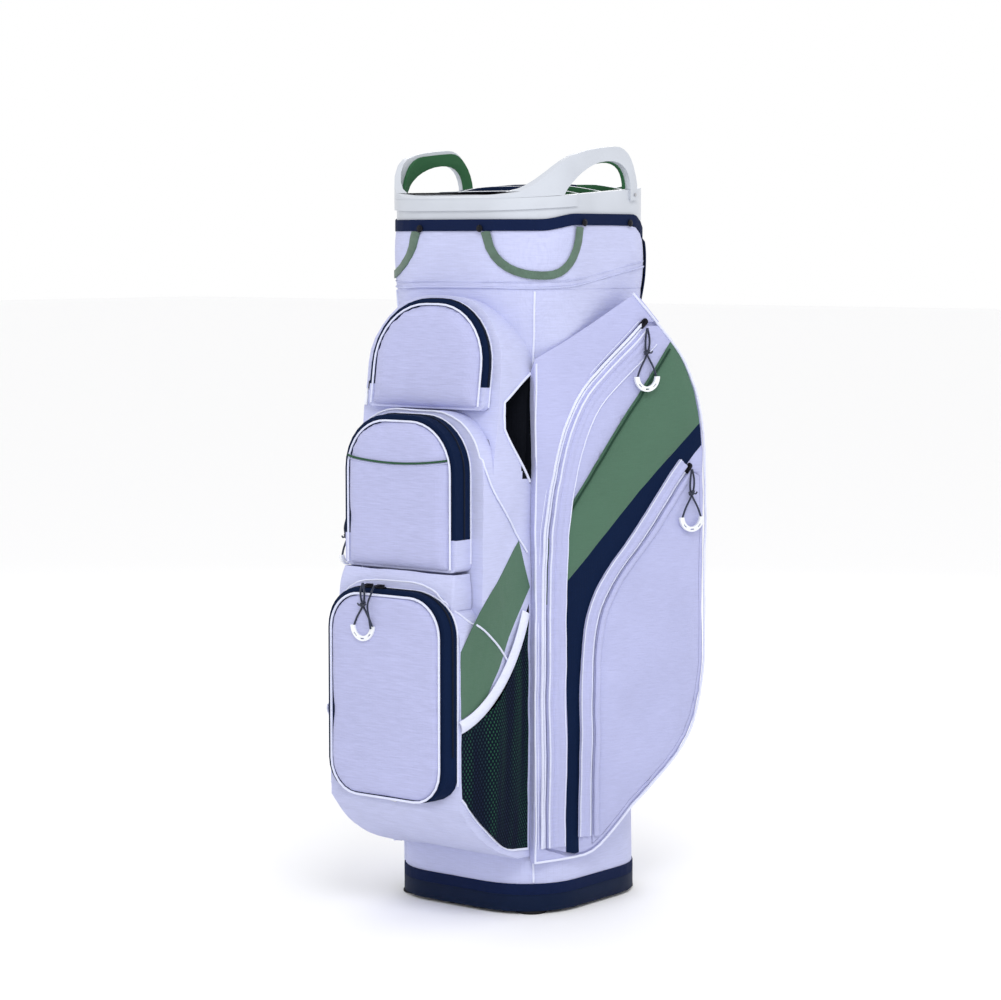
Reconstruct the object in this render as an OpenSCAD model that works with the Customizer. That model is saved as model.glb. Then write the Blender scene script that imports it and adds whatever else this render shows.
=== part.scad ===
// Golf cart bag, modelled as its separate pieces. Millimetres, +Z up.
// The origin is the middle of the base on the floor. -Y is the front with the
// stacked pockets, +Y is the back with the spine pad and the shoulder strap.

/* [Body tube] */
// Outside width of the fabric tube
body_w = 250; // [225:1:310]
// Outside depth of the fabric tube
body_d = 250; // [225:1:310]
// Corner radius of the tube
body_r = 78; // [64:1:94]
// Thickness of the fabric and foam wall
wall = 3; // [2:0.5:5]

/* [Base] */
// Height of the moulded base cup, feet included
base_h = 24; // [18:1:36]
// Height of the rubber feet under the cup
foot_h = 4; // [3:0.5:8]
// Height of the navy bands around the foot and the top of the tube
band_h = 14; // [10:1:20]

/* [Front pockets] */
// Underside of the front block above the floor
block_z = 75; // [60:1:100]
// Half width of the front block
block_hw = 103; // [97:1:112]
// Belly between the block's underside and the ball pocket
belly_h = 82; // [70:1:100]
// Half width of the ball pocket's face
ball_hw = 85; // [70:1:88]
// Height of the ball pocket's face
ball_h = 245; // [204:1:294]
// How far the block stands out behind the ball pocket
ball_out = 119; // [104:1:143]
// Depth of the ball pocket's gusset
ball_gusset_d = 19; // [14:1:26]
// Gap between the ball pocket and the middle pocket
pocket_gap = 30; // [26:1:40]
// Half width of the middle pocket's face
mid_hw = 80; // [66:1:86]
// Height of the middle pocket's face
mid_h = 178; // [148:1:214]
// How far the block stands out behind the middle pocket
mid_out = 78; // [72:1:90]
// Depth of the middle pocket's gusset
mid_gusset_d = 33; // [24:1:36]
// Gap between the middle pocket and the top pocket
top_gap = 14; // [12:1:24]
// Half width of the top pocket's face
top_hw = 84; // [80:1:90]
// Height of the top pocket's face
top_h = 126; // [108:1:150]
// How far the foot of the top pocket's face stands out
top_out = 64; // [60:1:70]
// Depth of the top pocket's gusset
top_gusset_d = 14; // [10:1:16]
// Lean of the top pocket towards the tube, degrees
top_lean = 8; // [5:0.5:11]

/* [Side pockets] */
// Length of the side pocket along its outer panel
side_len = 258; // [215:1:280]
// Angle that the outer panel flares away from the tube, degrees
side_flare = 18.5; // [15:0.5:22]
// Underside of the side pocket above the floor
side_z = 66; // [55:1:90]
// How far the panel's front edge stands off the corner of the tube
side_step = 10; // [7:1:14]
// Thickness of the swinging outer panel
panel_t = 3; // [2:0.5:4]

/* [Cuff] */
// Height of the padded skirt below the navy band
skirt_h = 70; // [58:1:90]
// Thickness of the padded skirt
skirt_t = 9; // [6:0.5:12]
// Height of the moulded collar above the band, at the middle
collar_h = 34; // [28:1:42]
// Tilt of the rim, high at the back, degrees
rim_tilt = 4; // [0:0.5:5]
// Height of the handles above the rim
handle_h = 54; // [48:1:75]
// Thickness of the hoop outside the collar
hoop_t = 3; // [2:0.5:5]
// Thickness of the divider ribs
rib_t = 4; // [3:0.5:6]
// Height of the divider ribs
rib_h = 22; // [16:1:26]

/* [Strap] */
// Width of the shoulder pad
pad_w = 60; // [45:1:70]
// Thickness of the shoulder pad
pad_t = 12; // [8:1:16]
// Width of the strap webbing
web_w = 30; // [20:1:38]
// Height between the strap's two rings
strap_span = 400; // [340:1:450]

/* [Hidden] */
$fn = 32;

// Colours of the finishes
WHITE = [0.86, 0.86, 0.93];
PLASTIC = [0.93, 0.93, 0.95];
NAVY = [0.04, 0.07, 0.17];
GREEN = [0.26, 0.41, 0.31];
MESH = [0.05, 0.12, 0.12];
BLACK = [0.03, 0.03, 0.05];
METAL = [0.7, 0.7, 0.72];

// Clearances: beside pieces that stay together, and beside pieces that move past each other
seat = 0.3;
run = 0.5;

hw = body_w / 2;
hd = body_d / 2;

// Heights up the front block, each stacked on the one below
ball_z = block_z + belly_h;
ball_top = ball_z + ball_h;
mid_z = ball_top + pocket_gap;
mid_top = mid_z + mid_h;
top_z = mid_top + top_gap;
top_top = top_z + top_h * cos(top_lean);
seam_z = top_top + 18;
skirt_top = seam_z + skirt_h;
band_top = skirt_top + band_h;
rim_z = band_top + collar_h;

// Places across the front block
ball_block_y = -hd - ball_out;
ball_face_y = ball_block_y - ball_gusset_d;
mid_block_y = -hd - mid_out;
mid_face_y = mid_block_y - mid_gusset_d;
top_face_y = -hd - top_out;
back_wall_y = -hd - 5;
shell = 4;
face_t = 4;
gusset_w = 7;
ball_corner = 45;
mid_corner = 60;
top_corner = 74;

// A quarter turn or less of an arc
function arc(cx, cy, r, a0, a1, n = 8) =
    [for (i = [0:n]) [cx + r * cos(a0 + (a1 - a0) * i / n), cy + r * sin(a0 + (a1 - a0) * i / n)]];

function cubic(a, b, c, d, n = 8) =
    [for (i = [0:n]) let (t = i / n, s = 1 - t) s*s*s*a + 3*s*s*t*b + 3*s*t*t*c + t*t*t*d];

function round_square(w, d, r) = concat(
    arc(w/2 - r, d/2 - r, r, 0, 90), arc(r - w/2, d/2 - r, r, 90, 180),
    arc(r - w/2, r - d/2, r, 180, 270), arc(w/2 - r, r - d/2, r, 270, 360));

// A pocket's outline seen from the front: half width, foot, top, and the radii of its corners
function arch(half, z0, z1, r_top, r_foot) = concat(
    arc(half - r_top, z1 - r_top, r_top, 0, 90), arc(r_top - half, z1 - r_top, r_top, 90, 180),
    arc(r_foot - half, z0 + r_foot, r_foot, 180, 270, 6), arc(half - r_foot, z0 + r_foot, r_foot, 270, 360, 6));

// A path moved sideways by d, and a band of width w along a path
function left_of(p, i) = let (v = p[min(i + 1, len(p) - 1)] - p[max(i - 1, 0)]) [-v[1], v[0]] / norm(v);
function beside(p, d) = [for (i = [0:len(p) - 1]) p[i] + left_of(p, i) * d];
function reversed(p) = [for (i = [len(p) - 1:-1:0]) p[i]];
function band(p, w) = concat(beside(p, w / 2), reversed(beside(p, -w / 2)));

module tube_solid(grow, z0, z1) {
    translate([0, 0, z0])
        linear_extrude(z1 - z0)
            polygon(round_square(body_w + 2 * grow, body_d + 2 * grow, body_r + grow));
}

module tube_ring(outer, inner, z0, z1) {
    difference() {
        tube_solid(outer, z0, z1);
        tube_solid(inner, z0 - 1, z1 + 1);
    }
}

// Extrudes an outline drawn in X and Z from the face at y0 back to y1
module front_prism(points, y0, y1) {
    translate([0, y1, 0]) rotate([90, 0, 0]) linear_extrude(y1 - y0) polygon(points);
}

// Extrudes an outline drawn in Y and Z from x0 to x1
module side_prism(points, x0, x1) {
    translate([x0, 0, 0]) rotate([90, 0, 90]) linear_extrude(x1 - x0) polygon(points);
}

// Y of the front of the tube at a distance x from its middle
function tube_front(x) = body_r - hd - sqrt(pow(body_r, 2) - pow(max(0, x - hw + body_r), 2));

module rod(p, q, r) {
    v = q - p;
    translate(p) rotate([0, acos(v[2] / norm(v)), atan2(v[1], v[0])]) cylinder(r = r, h = norm(v));
}

module on_rim() {
    translate([0, 0, rim_z]) rotate([rim_tilt, 0, 0]) children();
}

module left_side() {
    mirror([1, 0, 0]) children();
}

/* ---- base ---- */

foot_inset = 34;
floor_t = 5;
spigot = 3;
socket_r = 6.5;
socket_h = 22;
stay_r = 4;
stay_x = hw - wall - stay_r - 0.5;
stay_y = hd - body_r - 3;
stay_foot = foot_h + floor_t;
stay_top = band_top - 20;

module at_stays() {
    for (x = [-1, 1], y = [-1, 1]) translate([x * stay_x, y * stay_y, 0]) children();
}

// A foot near each corner and one in the middle
module at_feet() {
    children();
    for (x = [-1, 1], y = [-1, 1]) translate([x * (hw - foot_inset), y * (hd - foot_inset), 0]) children();
}

module base_cup() {
    color(NAVY) difference() {
        union() {
            tube_ring(2, -wall - spigot, foot_h, base_h);
            tube_solid(-wall, foot_h, foot_h + floor_t);
            tube_ring(-wall, -wall - spigot, base_h - 1, base_h + 20);
            intersection() {
                at_stays() translate([0, 0, foot_h]) cylinder(r = socket_r, h = floor_t + socket_h);
                tube_solid(-wall, foot_h, base_h + 20);
            }
        }
        at_stays() translate([0, 0, stay_foot]) cylinder(r = stay_r, h = 100);
        at_feet() cylinder(r = 2, h = 30);
    }
}

module base_feet() {
    color(BLACK) at_feet() {
        cylinder(r = 19, h = foot_h);
        cylinder(r = 2, h = foot_h + floor_t);
    }
}

module navy_bands() {
    color(NAVY) {
        tube_ring(2, 0, base_h + seat, base_h + band_h);
        tube_ring(skirt_t + 1, 0, skirt_top, band_top);
    }
}

/* ---- tube and its frame ---- */

module body_tube() {
    color(WHITE) tube_ring(0, -wall, base_h, band_top);
}

module frame_stays() {
    color(METAL) at_stays() translate([0, 0, stay_foot]) cylinder(r = stay_r, h = stay_top - stay_foot);
}

/* ---- cuff ---- */

module cuff_skirt() {
    color(WHITE) tube_ring(skirt_t, 0, seam_z, skirt_top);
}

stud_r = 4.5;

// Snap studs of the rain hood, two on each side of the cuff
module hood_studs() {
    color(BLACK) for (a = [0:90:270], s = [-1, 1]) {
        across = (a % 180 == 0) ? hd : hw;
        along = (a % 180 == 0) ? hw - body_r : hd - body_r;
        rotate([0, 0, a]) translate([s * along, -across - skirt_t - 1, skirt_top + band_h / 2])
            rotate([90, 0, 0]) {
                cylinder(r = stud_r, h = 1.5);
                cylinder(r = 2.5, h = 2.6);
            }
    }
}

collar_in = 9;
flange_t = 4;
collar_wall = 3;

module below_rim(drop = 0) {
    intersection() {
        children();
        on_rim() translate([-400, -400, -200 - drop]) cube([800, 800, 200]);
    }
}

module collar() {
    color(PLASTIC) difference() {
        union() {
            below_rim() tube_ring(skirt_t, skirt_t - collar_wall, band_top, rim_z + 40);
            below_rim() tube_ring(-wall, -collar_in, band_top, rim_z + 40);
            difference() {
                below_rim() tube_ring(skirt_t, -collar_in, band_top, rim_z + 40);
                below_rim(flange_t) tube_ring(skirt_t + 1, -collar_in - 1, band_top - 1, rim_z + 40);
            }
            tube_ring(-wall, -wall - spigot, band_top - 24, band_top);
            intersection() {
                at_stays() translate([0, 0, stay_top - socket_h]) cylinder(r = socket_r, h = socket_h + 4);
                tube_solid(-wall, stay_top - socket_h, band_top);
            }
        }
        at_stays() translate([0, 0, stay_top - 100]) cylinder(r = stay_r, h = 100);
        hoop_screws_at(1.5, 40, -20);
    }
}

// Outline of a handle in Y and Z, measured from the rim
hoop_drop = 14;
leg_rear = 68;
leg_front = -hd + 18;
grip_wall = 17;
arch_rear = leg_rear - 19;
arch_front = leg_front + 28;

function hoop_outer() = concat(
    cubic([leg_front - 40, 0], [leg_front - 2, 0], [leg_front + 16, handle_h - 6], [-48, handle_h - 4]),
    cubic([-44, handle_h - 3], [-24, handle_h], [0, handle_h], [17, handle_h]),
    cubic([20, handle_h], [leg_rear - 22, handle_h], [leg_rear - 3, handle_h - 22], [leg_rear, -hoop_drop]));
function hoop_inner(lip = 0) = concat(
    cubic([arch_rear + lip, 0.5], [arch_rear + lip, 20], [arch_rear - 10, handle_h - grip_wall + lip],
        [4, handle_h - grip_wall + lip]),
    cubic([0, handle_h - grip_wall + lip], [-34, handle_h - grip_wall + lip],
        [arch_front + 12 - lip, handle_h - grip_wall - 16 + lip], [arch_front - lip, 0.5]));

hoop_out = skirt_t + hoop_t;
hoop_in = 4;

// The band across the front and the two arches are one moulding around the collar
module handle_hoop() {
    color(PLASTIC) difference() {
        union() {
            intersection() {
                tube_ring(hoop_out, skirt_t, band_top - 30, rim_z + 40);
                on_rim() {
                    translate([-hw - 40, -hd - 40, -hoop_drop]) cube([body_w + 80, 60 + hd + arch_front, hoop_drop]);
                    for (s = [-1, 1]) translate([s * hw - 40, arch_rear, -hoop_drop])
                        cube([80, leg_rear - arch_rear, hoop_drop]);
                }
            }
            intersection() {
                tube_ring(hoop_out, hoop_in, rim_z - 30, rim_z + 120);
                on_rim() intersection() {
                    side_prism(concat(hoop_outer(), hoop_inner()), -hw - 40, hw + 40);
                    translate([-400, -400, 0]) cube([800, 800, 200]);
                }
            }
        }
        hoop_screws_at(1.5, 40, -20);
    }
}

screw_y = (leg_rear + arch_rear) / 2;
screw_x = hw - body_r + sqrt(pow(body_r + hoop_out, 2) - pow(max(0, screw_y + 2 - (hd - body_r)), 2));

module hoop_screws_at(r, h, back) {
    on_rim() for (s = [-1, 1])
        translate([s * (screw_x + back), screw_y, -hoop_drop / 2]) rotate([0, s * 90, 0]) cylinder(r = r, h = h);
}

module hoop_screws() {
    screw_l = hoop_t + collar_wall + 3;
    color(METAL) {
        hoop_screws_at(1.5, screw_l, -screw_l);
        hoop_screws_at(2, 1.5, 0);
    }
}

// Soft-touch liner on the inside of an arch
module grip_right() {
    color(GREEN) intersection() {
        tube_ring(hoop_in, hoop_in - 4, rim_z - 30, rim_z + 120);
        on_rim() side_prism(concat(
            cubic([arch_front - 12, 1], [arch_front, 22], [-60, handle_h - 6], [-30, handle_h - 5]),
            cubic([-26, handle_h - 5], [0, handle_h - 4], [12, handle_h - 4], [20, handle_h - 4]),
            cubic([22, handle_h - 4], [leg_rear - 24, handle_h - 4], [leg_rear - 7, handle_h - 26], [leg_rear - 6, 1]),
            hoop_inner(-2)), 0, hw + 40);
    }
}

module grip_left() { left_side() grip_right(); }

/* ---- club dividers ---- */

grid_out = -collar_in;
columns = 3;
rows = 5;
sheet_t = 1.5;
grid_w = body_w - 2 * (collar_in + rib_t);
grid_d = body_d - 2 * (collar_in + rib_t);
column_w = (grid_w - (columns - 1) * rib_t) / columns;
row_d = (grid_d - (rows - 1) * rib_t) / rows;

function rib_x(i) = -grid_w / 2 + i * (column_w + rib_t) - rib_t / 2;
function rib_y(j) = -grid_d / 2 + j * (row_d + rib_t) - rib_t / 2;

module divider_grid() {
    color(PLASTIC) intersection() {
        union() {
            tube_ring(grid_out, grid_out - rib_t, rim_z - 80, rim_z + 20);
            on_rim() {
                for (i = [1:columns - 1])
                    translate([rib_x(i) - rib_t / 2, -hd, -rib_h - 2]) cube([rib_t, body_d, rib_h]);
                for (j = [1:rows - 1])
                    translate([-hw, rib_y(j) - rib_t / 2, -rib_h - 2]) cube([body_w, rib_t, rib_h]);
            }
        }
        on_rim() translate([-hw, -hd, -rib_h - 2]) cube([body_w, body_d, rib_h]);
        tube_solid(grid_out, rim_z - 80, rim_z + 20);
    }
}

sheet_foot = stay_foot + 1;

// Full-length fabric sheets that hang from the ribs down to the base
module divider_sheets() {
    color(NAVY) {
        for (i = [1:columns - 1])
            translate([rib_x(i) - sheet_t / 2, -grid_d / 2 + 2, sheet_foot])
                cube([sheet_t, grid_d - 4, sheet_top - sheet_foot]);
        for (i = [0:columns - 1], j = [1:rows - 1]) {
            edge = (i == 1) ? 0 : 3;
            corner = (i != 1 && (j == 1 || j == rows - 1)) ? body_r * 0.16 : 0;
            x0 = rib_x(i) + sheet_t / 2 + seat + (i == 0 ? edge + corner : 0);
            x1 = rib_x(i + 1) - sheet_t / 2 - seat - (i == 2 ? edge + corner : 0);
            translate([x0, rib_y(j) - sheet_t / 2, sheet_foot]) cube([x1 - x0, sheet_t, sheet_top - sheet_foot]);
        }
    }
}

sheet_top = rim_z - hd * sin(rim_tilt) - rib_h - 4;

/* ---- webbing loops on the front corners ---- */

loop_w = 10;
loop_t = 1.5;
loop_reach = 58;
loop_drop = 52;
loop_off = skirt_t + 2.2;

module web_loop_right() {
    z = skirt_top - 1.5;
    u_path = concat([[-loop_reach, z]],
        cubic([-loop_reach + 2, z - 6], [-loop_reach + 8, z - loop_drop * 0.8], [-20, z - loop_drop], [8, z - loop_drop]),
        cubic([14, z - loop_drop], [40, z - loop_drop], [loop_reach - 5, z - loop_drop * 0.6], [loop_reach, z]));
    color(GREEN) intersection() {
        tube_ring(loop_off + loop_t, loop_off, z - loop_drop - 20, z);
        rotate([0, 0, 45]) front_prism(band(u_path, loop_w), -300, 0);
    }
}

module web_loop_left() { left_side() web_loop_right(); }

/* ---- front block ---- */

tunnel = [[-hd + 20, mid_top + 56], [-hd - 38, mid_top + 23], [-hd - 38, mid_top - 10], [-hd + 15, mid_top - 78]];
tunnel_y = -hd - 38;

// Side view of the block's underside, raised by d
function belly(d = 0) = concat(
    [[0, block_z + d], [-hd + 20, block_z + d]],
    cubic([-hd - 10, block_z + d], [-hd - 60, block_z + 14 + d], [ball_block_y + 30 + d, ball_z - 45 + d],
        [ball_block_y + d, ball_z - 10 + d]),
    [[ball_block_y + d, 2000], [0, 2000]]);

module cut_strap_tunnel() {
    side_prism(tunnel, -200, 200);
}

// Mesh pocket on the side of the ball block
mesh_t = 1.2;
mesh_gap = 12;
mesh_rear = tube_front(block_hw) - 11.7;
mesh_front = ball_block_y + 3;
mesh_foot = block_z + 10;

function mesh_top_edge(up = 0) = cubic([mesh_rear, ball_top - 32 + up], [mesh_rear - 18, ball_top - 68 + up],
    [-hd - 48, ball_top - 142 + up], [mesh_front, ball_z + 86 + up]);
function mesh_outline(inset = 0, up = 0) = concat(
    mesh_top_edge(up), [[mesh_front + inset, ball_z + 86 + up]],
    cubic([mesh_front + inset, ball_z + 4 + inset], [-hd - 84, ball_z - 28 + inset],
        [-hd - 50, mesh_foot + 6 + inset], [-hd - 20, mesh_foot + 2 + inset]),
    [[mesh_rear - inset, mesh_foot + inset]]);

module cut_mesh_recess() {
    for (s = [0, 1]) mirror([s, 0, 0])
        side_prism(mesh_outline(4, 16), block_hw - mesh_t - mesh_gap, block_hw + 1);
    for (s = [0, 1]) mirror([s, 0, 0])
        side_prism(mesh_outline(), block_hw - mesh_t, block_hw + 1);
}

ball_block_top = ball_top + 16;
ball_bay_top = ball_top + 6;
ball_bay_hw = block_hw - mesh_t - mesh_gap - shell - 1;

module ball_block() {
    color(WHITE) difference() {
        intersection() {
            front_prism(arch(block_hw, block_z - 20, ball_block_top, 74, 20), ball_block_y, 0);
            side_prism(belly(), -200, 200);
        }
        tube_solid(0, 0, 900);
        intersection() {
            front_prism(arch(ball_bay_hw, block_z - 20, ball_bay_top, 56, 10), ball_block_y + shell, back_wall_y);
            side_prism(belly(shell), -200, 200);
        }
        front_prism(arch(ball_hw - 6, ball_z + 6, ball_top - 6, ball_corner - 6, 34), ball_block_y - 1, back_wall_y);
        cut_mesh_recess();
    }
}

mid_block_top = top_z - 2;
mid_bay_hw = block_hw - 8;

// Sits on the ball block's arched top, so it starts from the same outline
module mid_block() {
    color(WHITE) difference() {
        front_prism(arch(block_hw, block_z + 200, mid_block_top, 74, 20), mid_block_y, 0);
        front_prism(arch(block_hw, block_z - 20, ball_block_top, 74, 20), -900, 1);
        translate([-300, -900, 0]) cube([600, 1200, ball_block_top - 74]);
        tube_solid(0, 0, 900);
        front_prism(arch(mid_bay_hw, mid_z - 6, mid_top + 6, 66, 8), mid_block_y + shell, tunnel_y - shell);
        front_prism(arch(mid_hw - 6, mid_z - 6, mid_top - 84, 8, 8), mid_block_y + shell, back_wall_y);
        front_prism(arch(mid_hw - 6, mid_z + 6, mid_top - 6, mid_corner - 6, 8), mid_block_y - 1, mid_block_y + 8);
        cut_mesh_recess();
        cut_strap_tunnel();
    }
}

module on_top_pocket() {
    translate([0, top_face_y, top_z]) rotate([-top_lean, 0, 0]) children();
}

top_mouth = 6;

module top_block() {
    color(WHITE) difference() {
        intersection() {
            on_top_pocket() front_prism(arch(block_hw, -90, top_h + 12, 84, 10),
                top_gusset_d + run, top_out + 60);
            translate([-300, -900, mid_block_top - 74]) cube([600, 900, 400]);
        }
        front_prism(arch(block_hw, block_z + 200, mid_block_top, 74, 20), -900, 1);
        translate([-300, -900, 0]) cube([600, 1200, mid_block_top - 74]);
        tube_solid(0, 0, 900);
        on_top_pocket() front_prism(arch(top_hw - top_mouth, top_mouth, top_h - top_mouth, top_corner - top_mouth, 8),
            0, top_gusset_d + 8);
        front_prism(arch(top_hw - 14, mid_top + 64, top_top - 4, 50, 8), top_face_y + 10, back_wall_y);
        cut_strap_tunnel();
    }
}

stripe_t = 1;

// Green panels sewn to the sides of the block, above the mesh pockets
module front_stripes() {
    color(GREEN) for (s = [0, 1]) mirror([s, 0, 0]) difference() {
        side_prism([[-hd - 7, mid_z + 31], [-hd + 10, mid_z - 20], [mesh_rear, ball_top + 4],
            [ball_block_y + 1, ball_z + 60], [ball_block_y + 1, ball_top - 60], [-hd - 84, ball_top - 17]],
            block_hw, block_hw + stripe_t);
        side_prism(mesh_outline(-20, 18), block_hw - 1, block_hw + 3);
    }
}

module mesh_right() {
    color(MESH) side_prism(mesh_outline(), block_hw - mesh_t, block_hw);
}

module mesh_left() { left_side() mesh_right(); }

module mesh_bindings() {
    color(WHITE) for (s = [0, 1]) mirror([s, 0, 0]) intersection() {
        side_prism(band(beside(mesh_top_edge(), 5), 10), block_hw, block_hw + 1.5);
        translate([0, mesh_rear - 400, 0]) cube([400, 402, 900]);
    }
}

/* ---- zip sliders and their pulls ---- */

slider_l = 14;
slider_w = 8;
slider_t = 4.5;
pull_drop = 58;
pull_r = 15;
pull_cord = 1.2;

// Flat on the plane y = 0, outwards is -y; it points along z and its middle is at the origin
module slider_shape() {
    color(BLACK) translate([0, -run, 0]) difference() {
        union() {
            front_prism(arch(slider_w / 2, -slider_l / 2, slider_l / 2, 3.5, 2), -1.8, 0);
            front_prism(arch(2, -slider_l / 2 + 2, slider_l / 2 - 2, 1, 1), -slider_t, -1.7);
        }
        translate([-5, -3.4, 0]) cube([10, 1.6, slider_l - 8], center = true);
    }
}

// A loop of cord, knotted half way, with a U-shaped grip; it hangs from the origin
module pull_shape(drop = pull_drop, half = pull_r) {
    knot = drop * 0.5;
    color(NAVY) {
        rod([0, 0, -pull_cord], [0, 0, -knot], pull_cord * 1.3);
        translate([0, 0, -knot]) sphere(r = pull_cord * 2);
        for (s = [-1, 1]) rod([0, 0, -knot], [s * half, 0, -drop], pull_cord);
    }
    color(PLASTIC) translate([0, 0, -drop]) rotate([90, 0, 0]) rotate([0, 0, 180])
        rotate_extrude(angle = 180) translate([half - 2.5, -1.75]) square([6, 3.5]);
}

// A single knotted cord with a small barrel grip
module barrel_pull(drop) {
    color(NAVY) rod([0, 0, -pull_cord], [0, 0, -drop], pull_cord);
    color(PLASTIC) translate([0, 0, -drop - 12]) cylinder(r = 2.2, h = 14);
}

pull_y = -run - slider_t - pull_cord * 2 - 0.4;

/* ---- ball pocket door ---- */

ball_slider_z = ball_top + gusset_w;
ball_slider_y = ball_face_y + ball_gusset_d / 2;

module ball_face() {
    color(WHITE) front_prism(arch(ball_hw, ball_z, ball_top, ball_corner, 40), ball_face_y, ball_face_y + face_t);
}

module ball_gusset() {
    color(NAVY) difference() {
        front_prism(arch(ball_hw + gusset_w, ball_z, ball_top + gusset_w, ball_corner + gusset_w, 40),
            ball_face_y + face_t, ball_block_y - run);
        front_prism(arch(ball_hw - 3, ball_z + 3, ball_top - 3, ball_corner - 3, 37),
            ball_face_y + face_t - 1, ball_block_y + 1);
    }
}

// The two sliders meet a little left of the middle
ball_zip_x = -21;
ball_slider_x = 9;

module ball_slider_right() {
    color(BLACK) translate([ball_zip_x + ball_slider_x, ball_slider_y, ball_slider_z]) {
        rotate([-90, 0, 0]) rotate([0, 90, 0]) slider_shape();
        translate([-2, ball_face_y - ball_slider_y - 1, run + slider_t - 1.5]) cube([4, ball_gusset_d / 2 + 2, 1.5]);
    }
}

module ball_slider_left() { translate([2 * ball_zip_x, 0, 0]) left_side() ball_slider_right(); }

ball_pull_y = ball_face_y - 3;
ball_pull_z = ball_slider_z + run + slider_t;

module ball_pull() {
    translate([ball_zip_x - ball_slider_x, ball_pull_y, ball_pull_z]) pull_shape(50);
}

/* ---- middle pocket door ---- */

module mid_face() {
    color(WHITE) front_prism(arch(mid_hw, mid_z, mid_top, mid_corner, 8), mid_face_y, mid_face_y + face_t);
}

module mid_gusset() {
    color(NAVY) difference() {
        front_prism(arch(mid_hw + gusset_w, mid_z, mid_top + gusset_w, mid_corner + gusset_w, 8),
            mid_face_y + face_t, mid_block_y - run);
        front_prism(arch(mid_hw - 3, mid_z + 3, mid_top - 3, mid_corner - 3, 6),
            mid_face_y + face_t - 1, mid_block_y + 1);
    }
}

mid_slider_z = mid_z + 55;
mid_slider_y = mid_face_y + mid_gusset_d / 2;

module mid_slider() {
    translate([-mid_hw - gusset_w, mid_slider_y, mid_slider_z]) rotate([0, 0, -90]) slider_shape();
}

module mid_pull() {
    translate([-mid_hw - gusset_w + pull_y, mid_slider_y, mid_slider_z - 3]) rotate([0, 0, -90]) pull_shape(42, 9);
}

/* ---- top pocket door ---- */

module top_face() {
    color(WHITE) on_top_pocket() front_prism(arch(top_hw, 0, top_h, top_corner, 8), 0, face_t);
}

module top_gusset() {
    color(NAVY) on_top_pocket() difference() {
        front_prism(arch(top_hw + gusset_w, 0, top_h + gusset_w, top_corner + gusset_w, 8), face_t, top_gusset_d);
        front_prism(arch(top_hw - 3, 3, top_h - 3, top_corner - 3, 6), face_t - 1, top_gusset_d + 1);
    }
}

top_slider_z = 26;
top_slider_y = (face_t + top_gusset_d) / 2;

module top_slider() {
    on_top_pocket() translate([-top_hw - gusset_w, top_slider_y, top_slider_z]) rotate([0, 0, -90]) slider_shape();
}

module top_pull() {
    on_top_pocket() translate([-top_hw - gusset_w + pull_y, top_slider_y, top_slider_z - 3])
        barrel_pull(10);
}

/* ---- side pockets, drawn on the outer panel's own plane ---- */

corner_xy = hw - body_r * (1 - sqrt(0.5));
side_x = corner_xy + side_step;
side_y = -(hd - body_r * (1 - sqrt(0.5))) - side_step;
side_top = seam_z - 1;
plate_y = panel_t + run;

// x runs back along the panel, z up, and outwards is -y
module on_side() {
    translate([side_x, side_y, 0]) rotate([0, 0, 90 - side_flare]) children();
}

// The rear edge from the foot up to the seam of the cuff
function rear_edge() = concat(
    cubic([60, side_z], [90, side_z], [100, side_z + 14], [147, side_z + 56], 5),
    cubic([155, side_z + 62], [side_len - 45, side_z + 108], [side_len - 5, side_z + 132], [side_len - 1, side_z + 230], 7),
    [[side_len, side_z + 290]],
    cubic([side_len, side_top - 266], [side_len, side_top - 166], [side_len - 6, side_top - 98], [side_len - 71, side_top - 41], 9),
    [[side_len - 113, side_top]]);
function side_outline(d = 0) = concat([[d, side_z + d]], beside(rear_edge(), d), [[d, side_top - d]]);

// The long zip down the front edge, and the short zip across the panel, from their upper ends
zip_up = [side_len - 98, side_top - 42];
zip_turn = [side_len - 162, side_top - 98];
function upper_zip() = concat([zip_up],
    cubic(zip_turn, [48, side_top - 138], [18, side_top - 206], [15, side_top - 366]), [[15, side_z + 18]]);
lower_up = [side_len - 28, side_z + 476];
lower_turn = [side_len - 100, side_z + 389];
function lower_zip() = concat([lower_up],
    cubic(lower_turn, [112, side_z + 336], [85, side_z + 318], [84, side_z + 220]), [[82, side_z + 26]]);

zip_half = 3.2;
function low_rear(d, u0, z1) = let (e = rear_edge(), b = beside(e, d))
    [for (i = [0:len(e) - 1]) if (e[i][0] > u0 && e[i][1] < z1) b[i]];
function panel_outline(d = 0) = concat(
    beside(upper_zip(), zip_half + d), low_rear(5 + d, 30, side_top - 30));
// Adds e to both ends of a path
function longer(p, e) = let (n = len(p) - 1, a = p[0] - p[1], b = p[n] - p[n - 1])
    concat([p[0] + a / norm(a) * e], [for (i = [1:n - 1]) p[i]], [p[n] + b / norm(b) * e]);
function door_outline(d = 0) = concat(
    beside(longer(lower_zip(), -3 * d), zip_half + d), low_rear(9 + d, 88, side_z + 470));

// Cuts the shoulder of the pocket away, from the yoke seam up to the cuff
yoke_rise = 28;
yoke_slope = 57;
module cut_yoke() {
    translate([0, 0, side_top - 84]) rotate([0, -yoke_rise, 0]) rotate([-yoke_slope, 0, 0])
        translate([-300, -300, 0]) cube([900, 600, 400]);
}

// Plan view of the pocket: its back wall runs from the panel's rear edge to the tube
side_rear_x = side_x + side_len * sin(side_flare);
side_rear_y = side_y + side_len * cos(side_flare);
function side_plan(d = 0) = [[hw - 70, -500], [900, -500], [900, side_rear_y - d],
    [side_rear_x, side_rear_y - d], [hw - 65, hd - 4 - d]];

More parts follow.
